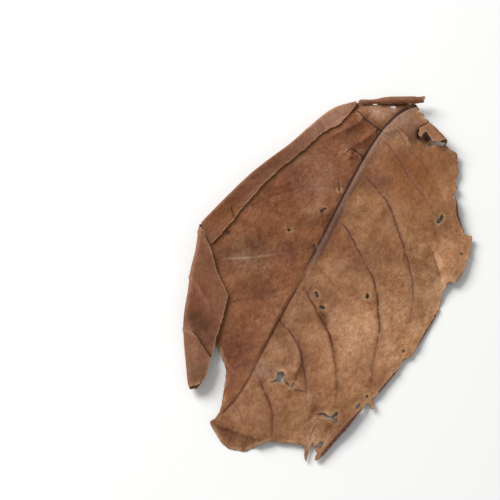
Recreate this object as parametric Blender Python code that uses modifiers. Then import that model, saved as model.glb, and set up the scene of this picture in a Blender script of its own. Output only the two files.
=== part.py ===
"""A dried Indian almond leaf, lying with its upper face up.

The leaf is one piece: blade, midrib and side veins grew together, and the stalk is broken off where
the blade begins.  It is drawn first as the flat sheet it was cut from nature as, in millimetres, with
X across, Y along the midrib towards the stalk.  The sheet is then folded along its creases, lifted
into its waves, thickened, and given its ribs on the underside.
"""
import math

import bmesh
import bpy
import numpy as np
from mathutils import Vector
from mathutils.geometry import delaunay_2d_cdt

# Driving dimensions, in millimetres
MM = 0.001
BLADE_THICKNESS = 0.7
CELL = 4.6
PLAN_CENTRE = (1.73, 0.17)

# The midrib: where it runs, and how it stands out below the blade
MIDRIB = [(1.6, 104.2), (-2.2, 99.4), (-5.4, 92.0), (-7.5, 78.0), (-7.5, 60.0), (-7.0, 40.0), (-6.7, 22.0),
          (-5.4, -4.0), (-4.5, -30.0), (-3.9, -52.0), (-2.8, -76.0), (-3.5, -88.0), (-6.5, -102.2)]
RIB_DEPTH = 1.9
RIB_TIP_DEPTH = 0.7
RIB_FLAT = 1.8
RIB_SIDE = 3.9
GROOVE_DEPTH = 1.3
GROOVE_REACH = 5.0

# Side veins, each from the midrib outward
SIDE_VEINS = [
    [(-6.6, 79.0), (5.9, 71.5), (17.9, 62.6), (28.3, 55.6), (36.0, 50.0)],
    [(-8.6, 56.5), (6.3, 48.8), (14.0, 43.4), (25.8, 31.0), (36.6, 18.4), (46.2, 4.4), (51.9, -11.0)],
    [(-7.6, 24.5), (4.2, 19.6), (15.7, 9.4), (28.5, -2.4), (38.7, -19.4), (43.3, -31.5), (48.9, -49.0)],
    [(-5.4, -15.5), (5.7, -25.6), (19.6, -36.2), (29.8, -49.4), (36.5, -61.0)],
    [(-4.4, -40.5), (6.6, -46.6), (16.9, -56.8), (28.5, -75.0)],
    [(-3.6, -68.0), (8.1, -78.4), (15.5, -86.6), (22.1, -98.0)],
    [(-8.2, 66.0), (-20.0, 60.5), (-33.0, 49.5), (-42.0, 36.0)],
    [(-8.2, 42.0), (-22.0, 34.0), (-38.0, 18.0), (-50.0, -2.0)],
    [(-6.6, 2.0), (-19.0, -8.0), (-33.0, -17.0), (-46.0, -32.0)],
    [(-5.2, -25.0), (-14.0, -33.0), (-25.5, -42.0), (-35.0, -54.0)],
]
VEIN_DIP = 0.8
VEIN_REACH = 3.5
VEIN_RIB = 0.5

# Height of the middle of the blade above the ground, at places (X, Y, height)
HEIGHTS = [
    (-26, 92, 2.6), (-36, 80, 5.0), (-12, 88, 3.2), (0, 103, 5.5), (14, 96, 5.0), (25, 88, 3.5),
    (10, 80, 4.0), (38, 74, 2.8), (-9, 72, 2.2), (-8, 45, 1.7), (-8, 20, 1.6), (-6, -10, 1.6),
    (-5, -40, 1.7), (-3, -66, 2.0), (-3, -86, 2.6), (-7, -102, 4.2), (12, 55, 3.8), (30, 55, 5.0),
    (44, 52, 3.2), (62, 36, 3.4), (36, 25, 5.2), (15, 25, 3.8), (60, 10, 2.2), (20, -2, 4.0),
    (42, -2, 5.0), (61, -8, 1.2), (15, -32, 3.8), (36, -35, 4.8), (58, -36, 2.0), (14, -62, 3.8),
    (32, -62, 4.6), (50, -62, 1.6), (18, -84, 3.8), (34, -84, 3.2), (44, -96, 1.6), (10, -99, 4.2),
    (26, -97, 2.4), (-25, 66, 5.4), (-44, 60, 8.5), (-24, 40, 6.0), (-50, 38, 11.0), (-28, 15, 7.0),
    (-57, 18, 12.0), (-62, -6, 11.5), (-40, -5, 9.0), (-20, -12, 4.8), (-52, -30, 9.5), (-32, -32, 6.2),
    (-17, -42, 4.2), (-40, -56, 6.0), (-22, -62, 3.2), (-36, -76, 2.2), (-12, -82, 2.8), (-26, -90, 1.2),
]
HEIGHT_REACH = 13.0
HEIGHT_OF_FEET = 1.3
WAVE_HEIGHT = 0.9
WAVE_LENGTH = 43.0
WAVE_START = (4.0, -12.0)

# The right margin droops to the ground round this place
DROOP_PLACE = (62.0, -14.0)
DROOP_DEPTH = 1.7
DROOP_REACH = 16.0

# The lobe beside the tip bends down along this line, by this slope
LOBE_LINE = [(-7.5, -103.4), (15.5, -100.8)]
LOBE_SLOPE = 0.42

# The long fold of the left margin, from the stalk end down to the corner
STRIP_LINE = [(-26.6, 91.9), (-34.6, 81.6), (-39.4, 65.4), (-43.2, 50.0), (-48.3, 32.7), (-53.0, 16.4),
              (-56.6, 2.9), (-58.9, -8.6), (-60.2, -17.0)]
STRIP_RADIUS = 1.2
STRIP_WIDTH = [(0, 1.6), (8, 7.7), (18, 10.8), (30, 7.9), (50, 7.2), (75, 8.1), (90, 9.4), (103, 11.2),
               (116, 11.6)]
STRIP_RISE = 3.0
STRIP_END = (-9.0, 2.0)

# The second fold, of the margin from the corner to the tip; it lies over the end of the first
FLAP_LINE = [(-58.8, -18.6), (-54.6, -29.6), (-52.0, -39.0), (-47.8, -49.4), (-43.8, -60.4),
             (-40.0, -68.0), (-33.0, -78.6), (-26.0, -89.0), (-23.4, -92.0)]
FLAP_RADIUS = 1.8
FLAP_WIDTH = [(0, 0.4), (5, 3.5), (10.5, 7.0), (15, 10.5), (23.6, 14.4), (32.5, 19.2), (37.2, 19.4),
              (50.6, 18.0), (57, 16.2), (64, 13.6), (70.5, 11.9), (75.4, 10.1), (83, 7.0)]
FLAP_RISE = 8.0
PLEAT_LINE = [(-39.5, -66.6), (-22.0, -76.4)]
PLEAT_HEIGHT = 2.4
PLEAT_BACK = 8.0
PLEAT_FRONT = 2.2

# The rolled margin beside the stalk, and the curl on the other side of it
ROLL_LINE = [(-25.2, 93.3), (-11.0, 101.2), (3.1, 108.0)]
ROLL_RADIUS = 2.0
ROLL_TURN = 275.0
ROLL_HELD = 26.0
ROLL_GAP = 2.6
CURL_LINE = [(13.7, 95.1), (23.6, 88.2)]
CURL_RADIUS = 2.5
CURL_WIDTH = 5.6
CURL_FALL = -14.0

# The margin of the blade, clockwise from the broken stalk
STALK_END = [(-1.6, 103.8), (-0.4, 105.8), (2.0, 105.2), (3.2, 103.8)]
STALK_SIDE = [(5.4, 102.5), (7.6, 101.2), (9.6, 99.7), (12.5, 99.4), (12.9, 96.2)]
RIGHT_MARGIN = [
    (24.4, 88.0), (25.6, 88.9), (28.1, 88.0), (32.4, 87.4), (34.0, 85.6), (36.0, 82.4), (37.8, 78.5),
    (38.7, 74.0), (39.5, 69.9), (41.2, 69.2), (42.2, 65.8), (40.4, 63.4), (43.8, 62.6), (45.8, 58.8),
    (48.1, 54.0), (52.7, 48.5), (55.7, 45.4), (59.6, 46.2), (60.8, 42.4), (62.4, 36.6), (63.3, 30.0),
    (63.7, 22.8), (62.6, 16.8), (59.9, 15.8), (59.5, 12.4), (60.8, 3.6), (61.4, -2.0), (60.9, -13.0),
    (60.3, -26.0), (60.7, -27.8), (57.9, -31.8), (57.5, -37.5), (56.0, -45.5), (53.6, -57.2),
    (55.1, -59.0), (56.1, -61.8), (54.9, -62.4), (52.9, -59.6), (51.9, -61.0), (51.0, -66.0),
    (49.9, -73.0), (48.2, -80.6), (46.7, -88.0), (45.2, -94.0), (43.4, -97.4),
]
TIP_MARGIN = [
    (41.6, -93.6), (38.6, -90.2), (38.9, -95.4), (39.9, -99.8), (37.8, -97.2), (36.4, -93.0),
    (32.0, -94.1), (27.4, -96.0), (21.4, -98.2), (17.4, -102.6), (12.6, -108.2), (5.1, -110.2),
    (-0.3, -108.6), (-5.2, -105.6), (-7.9, -103.6),
]
TEAR = [(-6.9, -101.4), (-6.3, -97.0), (-8.7, -89.6), (-11.7, -81.4), (-15.2, -75.4), (-21.2, -69.8),
        (-28.6, -64.4), (-27.6, -69.0), (-23.8, -77.0), (-21.6, -85.0), (-21.9, -91.6)]

# Holes big enough to show from a step away: the eaten hole, the tear near the tip, the two at the roll
HOLES = [
    [(8.6, -65.8), (11.0, -64.2), (13.4, -65.4), (14.0, -68.8), (11.8, -71.0), (9.0, -71.4)],
    [(34.6, -76.2), (37.2, -74.3), (39.6, -75.8), (42.4, -72.4), (42.2, -75.6), (38.2, -77.4)],
    [(-10.6, 98.4), (-7.0, 99.6), (-7.4, 96.6)],
]


# Lines and distances
def smooth_line(points, step):
    """A line through the points, rounded between them, with a point about every step millimetres."""
    ends = [2 * np.array(points[0]) - np.array(points[1]), 2 * np.array(points[-1]) - np.array(points[-2])]
    knots = np.array([ends[0], *points, ends[1]], float)
    out = []
    for a, b, c, d in zip(knots[:-3], knots[1:-2], knots[2:-1], knots[3:]):
        count = max(1, round(np.linalg.norm(c - b) / step))
        for t in np.arange(count) / count:
            out.append(0.5 * (2 * b + (c - a) * t + (2 * a - 5 * b + 4 * c - d) * t ** 2
                              + (3 * b - a - 3 * c + d) * t ** 3))
    return np.array([*out, knots[-2]])


def arc_lengths(line):
    """Distance along the line to each of its points."""
    return np.concatenate([[0.0], np.cumsum(np.linalg.norm(np.diff(line, axis=0), axis=1))])


def extended(line, length):
    """The line carried straight on by a length at both ends."""
    head = (line[0] - line[1]) / np.linalg.norm(line[0] - line[1])
    tail = (line[-1] - line[-2]) / np.linalg.norm(line[-1] - line[-2])
    return np.vstack([line[0] + head * length, line, line[-1] + tail * length])


def nearest(line, points):
    """For each point: arc length of the nearest place on the line, that place, and the distance to it.

    The distance is positive on the left of the line's direction.
    """
    a, d = line[:-1], np.diff(line, axis=0)
    lengths = np.linalg.norm(d, axis=1)
    rel = points[:, None, :] - a[None]
    t = np.clip((rel * d).sum(-1) / lengths ** 2, 0.0, 1.0)
    place = a + d * t[..., None]
    gap = np.linalg.norm(points[:, None, :] - place, axis=-1)
    best = gap.argmin(axis=1)
    row = np.arange(len(points))
    side = np.sign(d[best, 0] * rel[row, best, 1] - d[best, 1] * rel[row, best, 0])
    arc = arc_lengths(line)[best] + t[row, best] * lengths[best]
    return arc, place[row, best], gap[row, best] * np.where(side == 0, 1.0, side)


# Folds of the sheet
class Fold:
    """A crease: the sheet beyond it turns up round a small radius and lies back over the blade."""

    REACH = 8.0

    def __init__(self, points, outer_side, radius, turn, rise):
        self.line = smooth_line(points, 2.0)
        self.length = arc_lengths(self.line)[-1]
        self.long_line = extended(self.line, self.REACH)
        self.outer_side = outer_side
        self.radius = radius
        self.turn = math.radians(turn)
        self.rise = math.radians(rise)

    def arc_and_reach(self, points):
        """Arc length along the crease, distance beyond it, and the crease place for each point."""
        arc, place, gap = nearest(self.long_line, points)
        return arc - self.REACH, gap * self.outer_side, place

    def flat_point(self, arc, reach):
        """The point of the flat sheet at an arc length along the crease and a reach beyond it."""
        arcs = arc_lengths(self.long_line) - self.REACH
        place = np.array([np.interp(arc, arcs, self.long_line[:, i]) for i in (0, 1)])
        ahead = np.array([np.interp(arc + 1.0, arcs, self.long_line[:, i]) for i in (0, 1)])
        behind = np.array([np.interp(arc - 1.0, arcs, self.long_line[:, i]) for i in (0, 1)])
        along = (ahead - behind) / np.linalg.norm(ahead - behind)
        left = np.array([-along[1], along[0]])
        return place + left * self.outer_side * reach

    def folded(self, reach):
        """Where a reach beyond the crease ends up: distance out from the crease, and lift."""
        angle = np.minimum(reach / self.radius, self.turn)
        rest = np.maximum(reach - self.turn * self.radius, 0.0)
        out = self.radius * np.sin(angle) + rest * math.cos(self.turn)
        lift = self.radius * (1 - np.cos(angle)) + rest * math.sin(self.rise)
        return out, lift


STRIP = Fold(STRIP_LINE, -1.0, STRIP_RADIUS, 180.0, STRIP_RISE)
FLAP = Fold(FLAP_LINE, -1.0, FLAP_RADIUS, 180.0, FLAP_RISE)
ROLL = Fold(ROLL_LINE, 1.0, ROLL_RADIUS, ROLL_TURN, 0.0)
CURL = Fold(CURL_LINE, 1.0, CURL_RADIUS, 180.0, CURL_FALL)
BEND_MARGIN = 0.5


def edge_reach(fold, widths, arc):
    """Reach of the flat sheet beyond a crease whose folded part is seen this wide."""
    seen = np.interp(arc, *zip(*widths))
    return seen + (math.pi - 1.0) * fold.radius * np.clip(seen / 3.0, 0.3, 1.0)


def strip_end_arc(reach):
    """Arc length at which the strip ends: its end runs slantwise, under the flap."""
    return STRIP.length + np.interp(reach, (0.0, 13.0), STRIP_END)


def in_strip(arc, reach):
    """True for the points of the sheet that belong to the folded strip."""
    return (reach > 0) & (reach < 18.0) & (arc > -BEND_MARGIN) & (arc < strip_end_arc(reach) + BEND_MARGIN)


def in_flap(arc, reach):
    """True for the points of the sheet that belong to the flap."""
    return (reach > 0) & (reach < 28.0) & (arc > -BEND_MARGIN) & (arc < FLAP.length + BEND_MARGIN)


def in_roll(arc, reach):
    """True for the points of the sheet that belong to the roll."""
    return (reach > 0) & (reach < 14.0) & (arc > -BEND_MARGIN) & (arc < ROLL.length + 2.0)


def in_curl(arc, reach):
    """True for the points of the sheet that belong to the curl."""
    return (reach > 0) & (reach < 16.0) & (arc > -BEND_MARGIN) & (arc < CURL.length + BEND_MARGIN)


# Height of the blade
def distance_to(lines, points):
    """Distance from each point to the nearest of several lines."""
    return np.min([np.abs(nearest(line, points)[2]) for line in lines], axis=0)


MIDRIB_LINE = smooth_line(MIDRIB, 3.0)
VEIN_LINES = [smooth_line(vein, 3.0) for vein in SIDE_VEINS]


def margin_wave(points):
    """The slow waves of the dried blade, which grow from nothing at the midrib towards both margins."""
    across = np.clip(np.abs(points[:, 0] - WAVE_START[0]) / 60.0, 0.0, 1.0) ** 1.5
    along = points[:, 1] - WAVE_START[1] - 0.35 * points[:, 0]
    return WAVE_HEIGHT * across * np.sin(2 * math.pi * along / WAVE_LENGTH)


def blade_height(points):
    """Height of the middle of the blade: a soft mean of the named heights, with its grooves."""
    marks = np.array(HEIGHTS, float)
    far = ((points[:, None, :] - marks[None, :, :2]) ** 2).sum(-1)
    weight = np.exp(-far / (2 * HEIGHT_REACH ** 2)) + 1e-9
    height = (weight * marks[:, 2]).sum(-1) / weight.sum(-1)
    height -= GROOVE_DEPTH * np.exp(-distance_to([MIDRIB_LINE], points) / GROOVE_REACH)
    height -= VEIN_DIP * np.exp(-distance_to(VEIN_LINES, points) / VEIN_REACH)
    height += (GROOVE_DEPTH + VEIN_DIP) / 2 - HEIGHT_OF_FEET
    height += margin_wave(points)
    fall = np.linalg.norm(points - np.array(DROOP_PLACE), axis=1) / DROOP_REACH
    height -= DROOP_DEPTH * np.exp(-fall ** 2)
    arc, _, below = nearest(np.array(LOBE_LINE, float), points)
    height -= LOBE_SLOPE * np.maximum(-below, 0.0) * (arc > 0) * (arc < 23.0) * (points[:, 1] < -100)
    return np.maximum(height, BLADE_THICKNESS / 2)


def pleat_lift(points):
    """Extra lift of the flap at its pleat: steep in front of the ridge, easy behind it."""
    line = np.array(PLEAT_LINE, float)
    _, _, gap = nearest(extended(line, 6.0), points)
    behind = np.exp(-np.maximum(-gap, 0.0) / PLEAT_BACK)
    before = np.exp(-np.maximum(gap, 0.0) / PLEAT_FRONT)
    return PLEAT_HEIGHT * behind * before


def place_sheet(points):
    """Where each point of the flat sheet lies once the leaf is folded, in millimetres."""
    plan = points.copy()
    lift = np.zeros(len(points))
    anchor = points.copy()
    for fold, inside in ((STRIP, in_strip), (FLAP, in_flap), (ROLL, in_roll), (CURL, in_curl)):
        arc, reach, place = fold.arc_and_reach(points)
        mine = inside(arc, reach)
        out, up = fold.folded(reach[mine])
        away = (points[mine] - place[mine]) / reach[mine][:, None]
        plan[mine] = place[mine] + away * out[:, None]
        lift[mine] = up
        rigid = fold in (ROLL, CURL)
        anchor[mine] = place[mine] if rigid else plan[mine]
        if fold is FLAP:
            over = np.clip((reach[mine] - FLAP.radius * math.pi) / 4.0, 0.0, 1.0)
            lift[mine] += over * pleat_lift(plan[mine])
    return np.column_stack([plan, blade_height(anchor) + lift])


# The flat sheet: its outline and the points inside it
def strip_outline():
    """Outline of the strip from its end under the flap up to the roll."""
    end = [STRIP.flat_point(strip_end_arc(reach), reach) for reach in (0.0, 4.5, 9.0, 13.2)]
    arcs = np.arange(STRIP.length - 2.0, 0.0, -CELL)
    side = [STRIP.flat_point(arc, edge_reach(STRIP, STRIP_WIDTH, arc)) for arc in arcs]
    return [*end, *side, STRIP.flat_point(0.0, 0.0)]


def flap_outline():
    """Outline of the flap from the tip end of its crease up to the corner."""
    arcs = np.append(np.arange(FLAP.length, 2.0, -CELL), 0.0)
    side = [FLAP.flat_point(arc, edge_reach(FLAP, FLAP_WIDTH, arc)) for arc in arcs]
    return [FLAP.flat_point(FLAP.length, 0.0), *side]


def roll_outline():
    """Outline of the roll, from its open left end round to the notch beside the stalk."""
    full = ROLL.radius * ROLL.turn
    left = [ROLL.flat_point(0.0, reach) for reach in np.linspace(0.0, full, 7)]
    top = [ROLL.flat_point(arc, full) for arc in np.arange(4.0, 30.0, 4.0)]
    torn = [(30.5, 8.6), (33.0, 6.4), (31.6, 4.8), (33.4, 3.6), (30.0, ROLL_GAP)]
    right = [ROLL.flat_point(arc, reach) for arc, reach in torn]
    return [*left, *top, *right, ROLL.flat_point(ROLL_HELD, ROLL_GAP), ROLL.flat_point(ROLL_HELD, 0.0)]


def curl_outline():
    """Outline of the curl, from the stalk side to the far side."""
    full = CURL.radius * math.pi + CURL_WIDTH - CURL.radius
    left = [CURL.flat_point(0.0, reach) for reach in np.linspace(0.0, full * 0.94, 6)]
    far = [CURL.flat_point(arc, full) for arc in (4.0, 8.0)]
    right = [CURL.flat_point(CURL.length, reach) for reach in np.linspace(full * 0.9, 0.0, 6)]
    return [*left, *far, *right]


def sheet_outline():
    """The whole margin of the flat sheet, clockwise, without doubled points."""
    loop = [*STALK_END, *STALK_SIDE, *curl_outline(), *RIGHT_MARGIN, *TIP_MARGIN, *TEAR,
            *flap_outline(), *strip_outline(), *roll_outline()]
    kept = [np.array(loop[0], float)]
    for point in loop[1:]:
        if np.linalg.norm(np.array(point) - kept[-1]) > 0.4:
            kept.append(np.array(point, float))
    return np.array(kept)


def inside_loop(loop, points):
    """True for each point inside a closed loop, by counting crossings."""
    x, y = points[:, 0], points[:, 1]
    inside = np.zeros(len(points), bool)
    for (x0, y0), (x1, y1) in zip(loop, np.roll(loop, -1, axis=0)):
        crosses = (y0 > y) != (y1 > y)
        if y0 != y1:
            inside ^= crosses & (x < x0 + (x1 - x0) * (y - y0) / (y1 - y0))
    return inside


def bend_rows(fold, start, end, rows):
    """Points in rows along a crease, close together round its bend."""
    arcs = np.arange(start, end, 3.4)
    reaches = np.linspace(0.0, fold.turn * fold.radius, rows)
    return [fold.flat_point(arc, reach) for arc in arcs for reach in reaches]


def rib_rows():
    """Points on the midrib, on the flat of its underside and at the foot of its sides."""
    line = smooth_line(MIDRIB, CELL)
    along = np.gradient(line, axis=0)
    along /= np.linalg.norm(along, axis=1)[:, None]
    left = np.column_stack([-along[:, 1], along[:, 0]])
    offsets = (-RIB_SIDE, -RIB_FLAT, 0.0, RIB_FLAT, RIB_SIDE)
    return [line[i] + left[i] * offset for i in range(1, len(line) - 1) for offset in offsets]


def grid_points(low, high):
    """A field of points in offset rows, so that neighbours make even triangles."""
    rows = np.arange(low[1], high[1], CELL * math.sqrt(3) / 2)
    columns = np.arange(low[0], high[0], CELL)
    return np.array([(x + (i % 2) * CELL / 2, y) for i, y in enumerate(rows) for x in columns])


def thinned(points, taken, gap):
    """The points that keep a gap from those already taken."""
    far = np.linalg.norm(points[:, None, :] - taken[None], axis=-1).min(axis=1)
    return points[far > gap]


def sheet_points(outline):
    """All points inside the sheet: bends and veins first, then the field between them."""
    rows = [*bend_rows(STRIP, 2.0, STRIP.length + 1.0, 6), *bend_rows(FLAP, 1.7, FLAP.length, 7),
            *bend_rows(ROLL, 2.0, ROLL.length, 9), *bend_rows(CURL, 2.0, CURL.length, 7), *rib_rows()]
    rows = np.array(rows)
    edges = np.vstack([outline, *[np.array(hole) for hole in HOLES]])
    rim = smooth_line([*outline, outline[0]], 1.0)
    rows = thinned(rows[inside_loop(outline, rows)], np.vstack([edges, rim]), 0.9)
    veins = np.vstack([smooth_line(vein, CELL) for vein in SIDE_VEINS])
    veins = thinned(veins, np.vstack([rows, edges]), 1.9)
    pleat = smooth_line(PLEAT_FLAT, CELL)
    field = grid_points(outline.min(axis=0), outline.max(axis=0))
    field = thinned(field, np.vstack([rows, veins, edges, pleat]), CELL * 0.55)
    found = np.vstack([rows, veins, pleat, field])
    found = found[inside_loop(outline, found)]
    for hole in HOLES:
        found = found[~inside_loop(np.array(hole), found)]
    return thinned(found, edges, 0.8)


def pleat_on_flat_sheet():
    """The two ends of the pleat's ridge, as they lie on the flat sheet."""
    arc, reach, _ = FLAP.arc_and_reach(np.array(PLEAT_LINE))
    return [FLAP.flat_point(a, math.pi * FLAP.radius - r) for a, r in zip(arc, reach)]


PLEAT_FLAT = pleat_on_flat_sheet()


# Building the solid
def line_edges(line, points):
    """Edges between the points that lie one after the other on a line."""
    arc, _, gap = nearest(line, points)
    on_line = np.flatnonzero(np.abs(gap) < 0.25)
    on_line = on_line[np.argsort(arc[on_line])]
    return [(int(a), int(b)) for a, b in zip(on_line, on_line[1:]) if arc[b] - arc[a] < 1.6 * CELL]


def flat_triangles():
    """Split the flat sheet into triangles that keep its outline, its holes and its veins."""
    outline = sheet_outline()
    inner = sheet_points(outline)
    loops = [outline, *[np.array(hole) for hole in HOLES]]
    points = np.vstack([*loops, inner])
    edges = []
    first = 0
    for loop in loops:
        count = len(loop)
        edges += [(first + i, first + (i + 1) % count) for i in range(count)]
        first += count
    for vein in (MIDRIB, PLEAT_FLAT, *SIDE_VEINS):
        edges += [(first + a, first + b) for a, b in line_edges(smooth_line(vein, 1.0), inner)]
    found = delaunay_2d_cdt([Vector(p) for p in points], edges, [], 0, 1e-4)
    corners = np.array([v[:] for v in found[0]])
    faces = np.array(found[2])
    centres = corners[faces].mean(axis=1)
    keep = inside_loop(outline, centres)
    for hole in HOLES:
        keep &= ~inside_loop(np.array(hole), centres)
    return corners, faces[keep]


def rib_depth(points):
    """How far the ribs stand out below the blade: a flat-backed midrib and lower side veins."""
    arc, _, gap = nearest(MIDRIB_LINE, points)
    gap = np.abs(gap)
    share = arc / arc_lengths(MIDRIB_LINE)[-1]
    depth = RIB_DEPTH + (RIB_TIP_DEPTH - RIB_DEPTH) * share
    midrib = depth * np.clip((RIB_SIDE - gap) / (RIB_SIDE - RIB_FLAT), 0.0, 1.0)
    veins = VEIN_RIB * np.clip(1.0 - distance_to(VEIN_LINES, points) / 1.5, 0.0, 1.0)
    return np.maximum(midrib, veins)


def leaf_material():
    """Dry brown leaf."""
    material = bpy.data.materials.new("dry_leaf")
    material.use_nodes = True
    shader = material.node_tree.nodes["Principled BSDF"]
    shader.inputs["Base Color"].default_value = (0.30, 0.16, 0.08, 1.0)
    shader.inputs["Roughness"].default_value = 0.62
    shader.inputs["Metallic"].default_value = 0.0
    return material


def new_object(name, mesh, collection):
    """An object for a mesh, in the collection."""
    made = bpy.data.objects.new(name, mesh)
    collection.objects.link(made)
    return made


def thick_sheet(placed, faces, collection):
    """The open folded sheet, thickened to both sides by a Solidify modifier that is then applied."""
    mesh = bpy.data.meshes.new("sheet")
    mesh.from_pydata((placed * MM).tolist(), [], faces.tolist())
    sheet = new_object("sheet", mesh, collection)
    solid = sheet.modifiers.new("thickness", "SOLIDIFY")
    solid.thickness = BLADE_THICKNESS * MM
    solid.offset = 0.0
    solid.use_even_offset = False
    bpy.context.view_layer.update()
    made = bpy.data.meshes.new_from_object(sheet.evaluated_get(bpy.context.evaluated_depsgraph_get()))
    bpy.data.objects.remove(sheet)
    return made


def shape_underside(mesh, flat):
    """Lower the underside by the ribs, and stand it on the ground where it would go below it."""
    count = len(flat)
    points = np.array([v.co[:] for v in mesh.vertices]) / MM
    upper, lower = points[:count], points[count:2 * count]
    if upper[:, 2].mean() < lower[:, 2].mean():
        raise ValueError("the sheet is thickened the wrong way up")
    inward = (lower - upper) / np.linalg.norm(lower - upper, axis=1)[:, None]
    lower += inward * rib_depth(flat)[:, None]
    lower[:, 2] = np.maximum(lower[:, 2], 0.0)
    points[:, 0] -= PLAN_CENTRE[0]
    points[:, 1] -= PLAN_CENTRE[1]
    mesh.vertices.foreach_set("co", (points * MM).ravel())
    mesh.update()


def build_leaf(collection):
    """The whole leaf as one closed solid."""
    flat, faces = flat_triangles()
    mesh = thick_sheet(place_sheet(flat), faces, collection)
    shape_underside(mesh, flat)
    whole = bmesh.new()
    whole.from_mesh(mesh)
    bmesh.ops.triangulate(whole, faces=[f for f in whole.faces if len(f.verts) > 3])
    bmesh.ops.recalc_face_normals(whole, faces=whole.faces)
    whole.to_mesh(mesh)
    whole.free()
    mesh.name = "leaf"
    mesh.materials.append(leaf_material())
    mesh.shade_smooth()
    mesh.set_sharp_from_angle(angle=math.radians(40))
    return new_object("leaf", mesh, collection)


def main():
    """Clear the scene and build the leaf."""
    for old in list(bpy.data.objects):
        bpy.data.objects.remove(old)
    collection = bpy.data.collections.new("indian_almond_leaf")
    bpy.context.scene.collection.children.link(collection)
    leaf = build_leaf(collection)
    size = [round(v / MM, 1) for v in leaf.dimensions]
    print("leaf size in mm:", size, "triangles:", len(leaf.data.polygons))


main()
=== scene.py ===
# %% [markdown]
# # A dried Indian almond leaf
# The leaf is one natural sheet: a blade with a midrib and side veins that grew as one piece. Its left
# margin has folded over twice while drying, a strip of margin has rolled up beside the broken stalk,
# and the rest of the margin is torn and waved. It lies with its upper face up.
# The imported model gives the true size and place, so it is loaded first and its box is kept.

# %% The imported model
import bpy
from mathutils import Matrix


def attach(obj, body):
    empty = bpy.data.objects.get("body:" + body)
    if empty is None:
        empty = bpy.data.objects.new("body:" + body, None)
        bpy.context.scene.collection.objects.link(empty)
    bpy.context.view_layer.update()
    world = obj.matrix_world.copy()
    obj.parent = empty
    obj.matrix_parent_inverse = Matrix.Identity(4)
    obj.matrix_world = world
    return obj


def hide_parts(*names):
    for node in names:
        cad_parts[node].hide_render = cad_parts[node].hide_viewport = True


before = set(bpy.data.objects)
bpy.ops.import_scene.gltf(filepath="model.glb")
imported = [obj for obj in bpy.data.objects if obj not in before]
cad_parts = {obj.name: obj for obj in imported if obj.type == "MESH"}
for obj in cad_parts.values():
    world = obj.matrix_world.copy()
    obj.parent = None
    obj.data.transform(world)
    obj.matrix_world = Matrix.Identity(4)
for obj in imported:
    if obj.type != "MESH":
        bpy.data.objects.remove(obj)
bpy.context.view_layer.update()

import math

import bpy
import numpy as np

MM = 0.001

# %% [markdown]
# ## The camera
# The photograph looks down on the leaf, with the stalk end at the upper right. A long lens keeps the
# midrib and the margins as straight as they look there. The camera's place follows from two angles,
# an aim point on the ground, and the distance at which one pixel is half a millimetre.

# %% The camera
PLAN_CENTRE = np.array([1.73, 0.17])
AIM = np.array([-35.70, -11.93])
AZIMUTH, ELEVATION = math.radians(28.0), math.radians(60.0)
LENS, SENSOR, IMAGE_SIDE, MM_PER_PIXEL = 100.0, 36.0, 500, 0.5


def unit_to_camera():
    """Unit vector from the aim point to the camera, from the azimuth and the elevation."""
    flat = math.cos(ELEVATION)
    return np.array([math.sin(AZIMUTH) * flat, -math.cos(AZIMUTH) * flat, math.sin(ELEVATION)])


def make_camera():
    """A camera on the line of sight, turned so that its own Z points back at itself."""
    data = bpy.data.cameras.new("camera")
    data.lens, data.sensor_width = LENS, SENSOR
    camera = bpy.data.objects.new("camera", data)
    distance = MM_PER_PIXEL * IMAGE_SIDE * LENS / SENSOR
    aim = np.append(AIM - PLAN_CENTRE, 0.0)
    camera.location = (aim + unit_to_camera() * distance) * MM
    camera.rotation_euler = (math.pi / 2 - ELEVATION, 0.0, AZIMUTH)
    bpy.context.scene.collection.objects.link(camera)
    bpy.context.scene.camera = camera
    return camera


camera = make_camera()
print("camera at", [round(v, 3) for v in camera.location])

# %% [markdown]
# ## Colours and nodes
# Every colour is written as it would be read off a screen, in sRGB hex, and one function turns it into
# the linear values that the renderer works in. One more function adds a node with its settings and
# its links, so that each material below reads from top to bottom.

# %% Colours and nodes
def linear(code):
    """An sRGB hex colour as linear RGBA."""
    parts = np.array([int(code[i:i + 2], 16) for i in (1, 3, 5)]) / 255.0
    parts = np.where(parts <= 0.04045, parts / 12.92, ((parts + 0.055) / 1.055) ** 2.4)
    return (*parts.tolist(), 1.0)


def node(tree, kind, inputs=None, **settings):
    """Add a node; inputs maps socket names or numbers to values or to the sockets that feed them."""
    made = tree.nodes.new("ShaderNode" + kind)
    for name, value in settings.items():
        setattr(made, name, value)
    for name, value in (inputs or {}).items():
        if isinstance(value, bpy.types.NodeSocket):
            tree.links.new(value, made.inputs[name])
        else:
            made.inputs[name].default_value = value
    return made


def new_material(name):
    """A material with only its Principled BSDF and its output; returns material, tree and shader."""
    material = bpy.data.materials.new(name)
    material.use_nodes = True
    return material, material.node_tree, material.node_tree.nodes["Principled BSDF"]


print("white is", linear("#ffffff"))

# %% [markdown]
# ## Floor and light
# The leaf lies on plain white. The floor is a wide matt sheet, and the light is a large soft lamp from
# the upper left, with a weaker one in front and an even pale surround. The soft lamp from one side is
# what makes the folds and the sunken veins readable.

# %% Floor and light
FLOOR_SIDE, FLOOR_DROP = 6.0, 0.0002
KEY_FROM, KEY_SIDE, KEY_POWER = (-1.35, 0.19, 1.11), 1.10, 37.0
FILL_FROM, FILL_SIDE, FILL_POWER = (0.55, -0.75, 0.80), 0.9, 1.5
SURROUND = 0.36


def make_floor():
    """A matt white floor just under the leaf."""
    bpy.ops.mesh.primitive_plane_add(size=FLOOR_SIDE, location=(0, 0, -FLOOR_DROP))
    floor = bpy.context.object
    floor.name = "floor"
    material, _, shader = new_material("matt_white_floor")
    shader.inputs["Base Color"].default_value = linear("#f4f4f3")
    shader.inputs["Roughness"].default_value = 0.9
    floor.data.materials.append(material)


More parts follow.
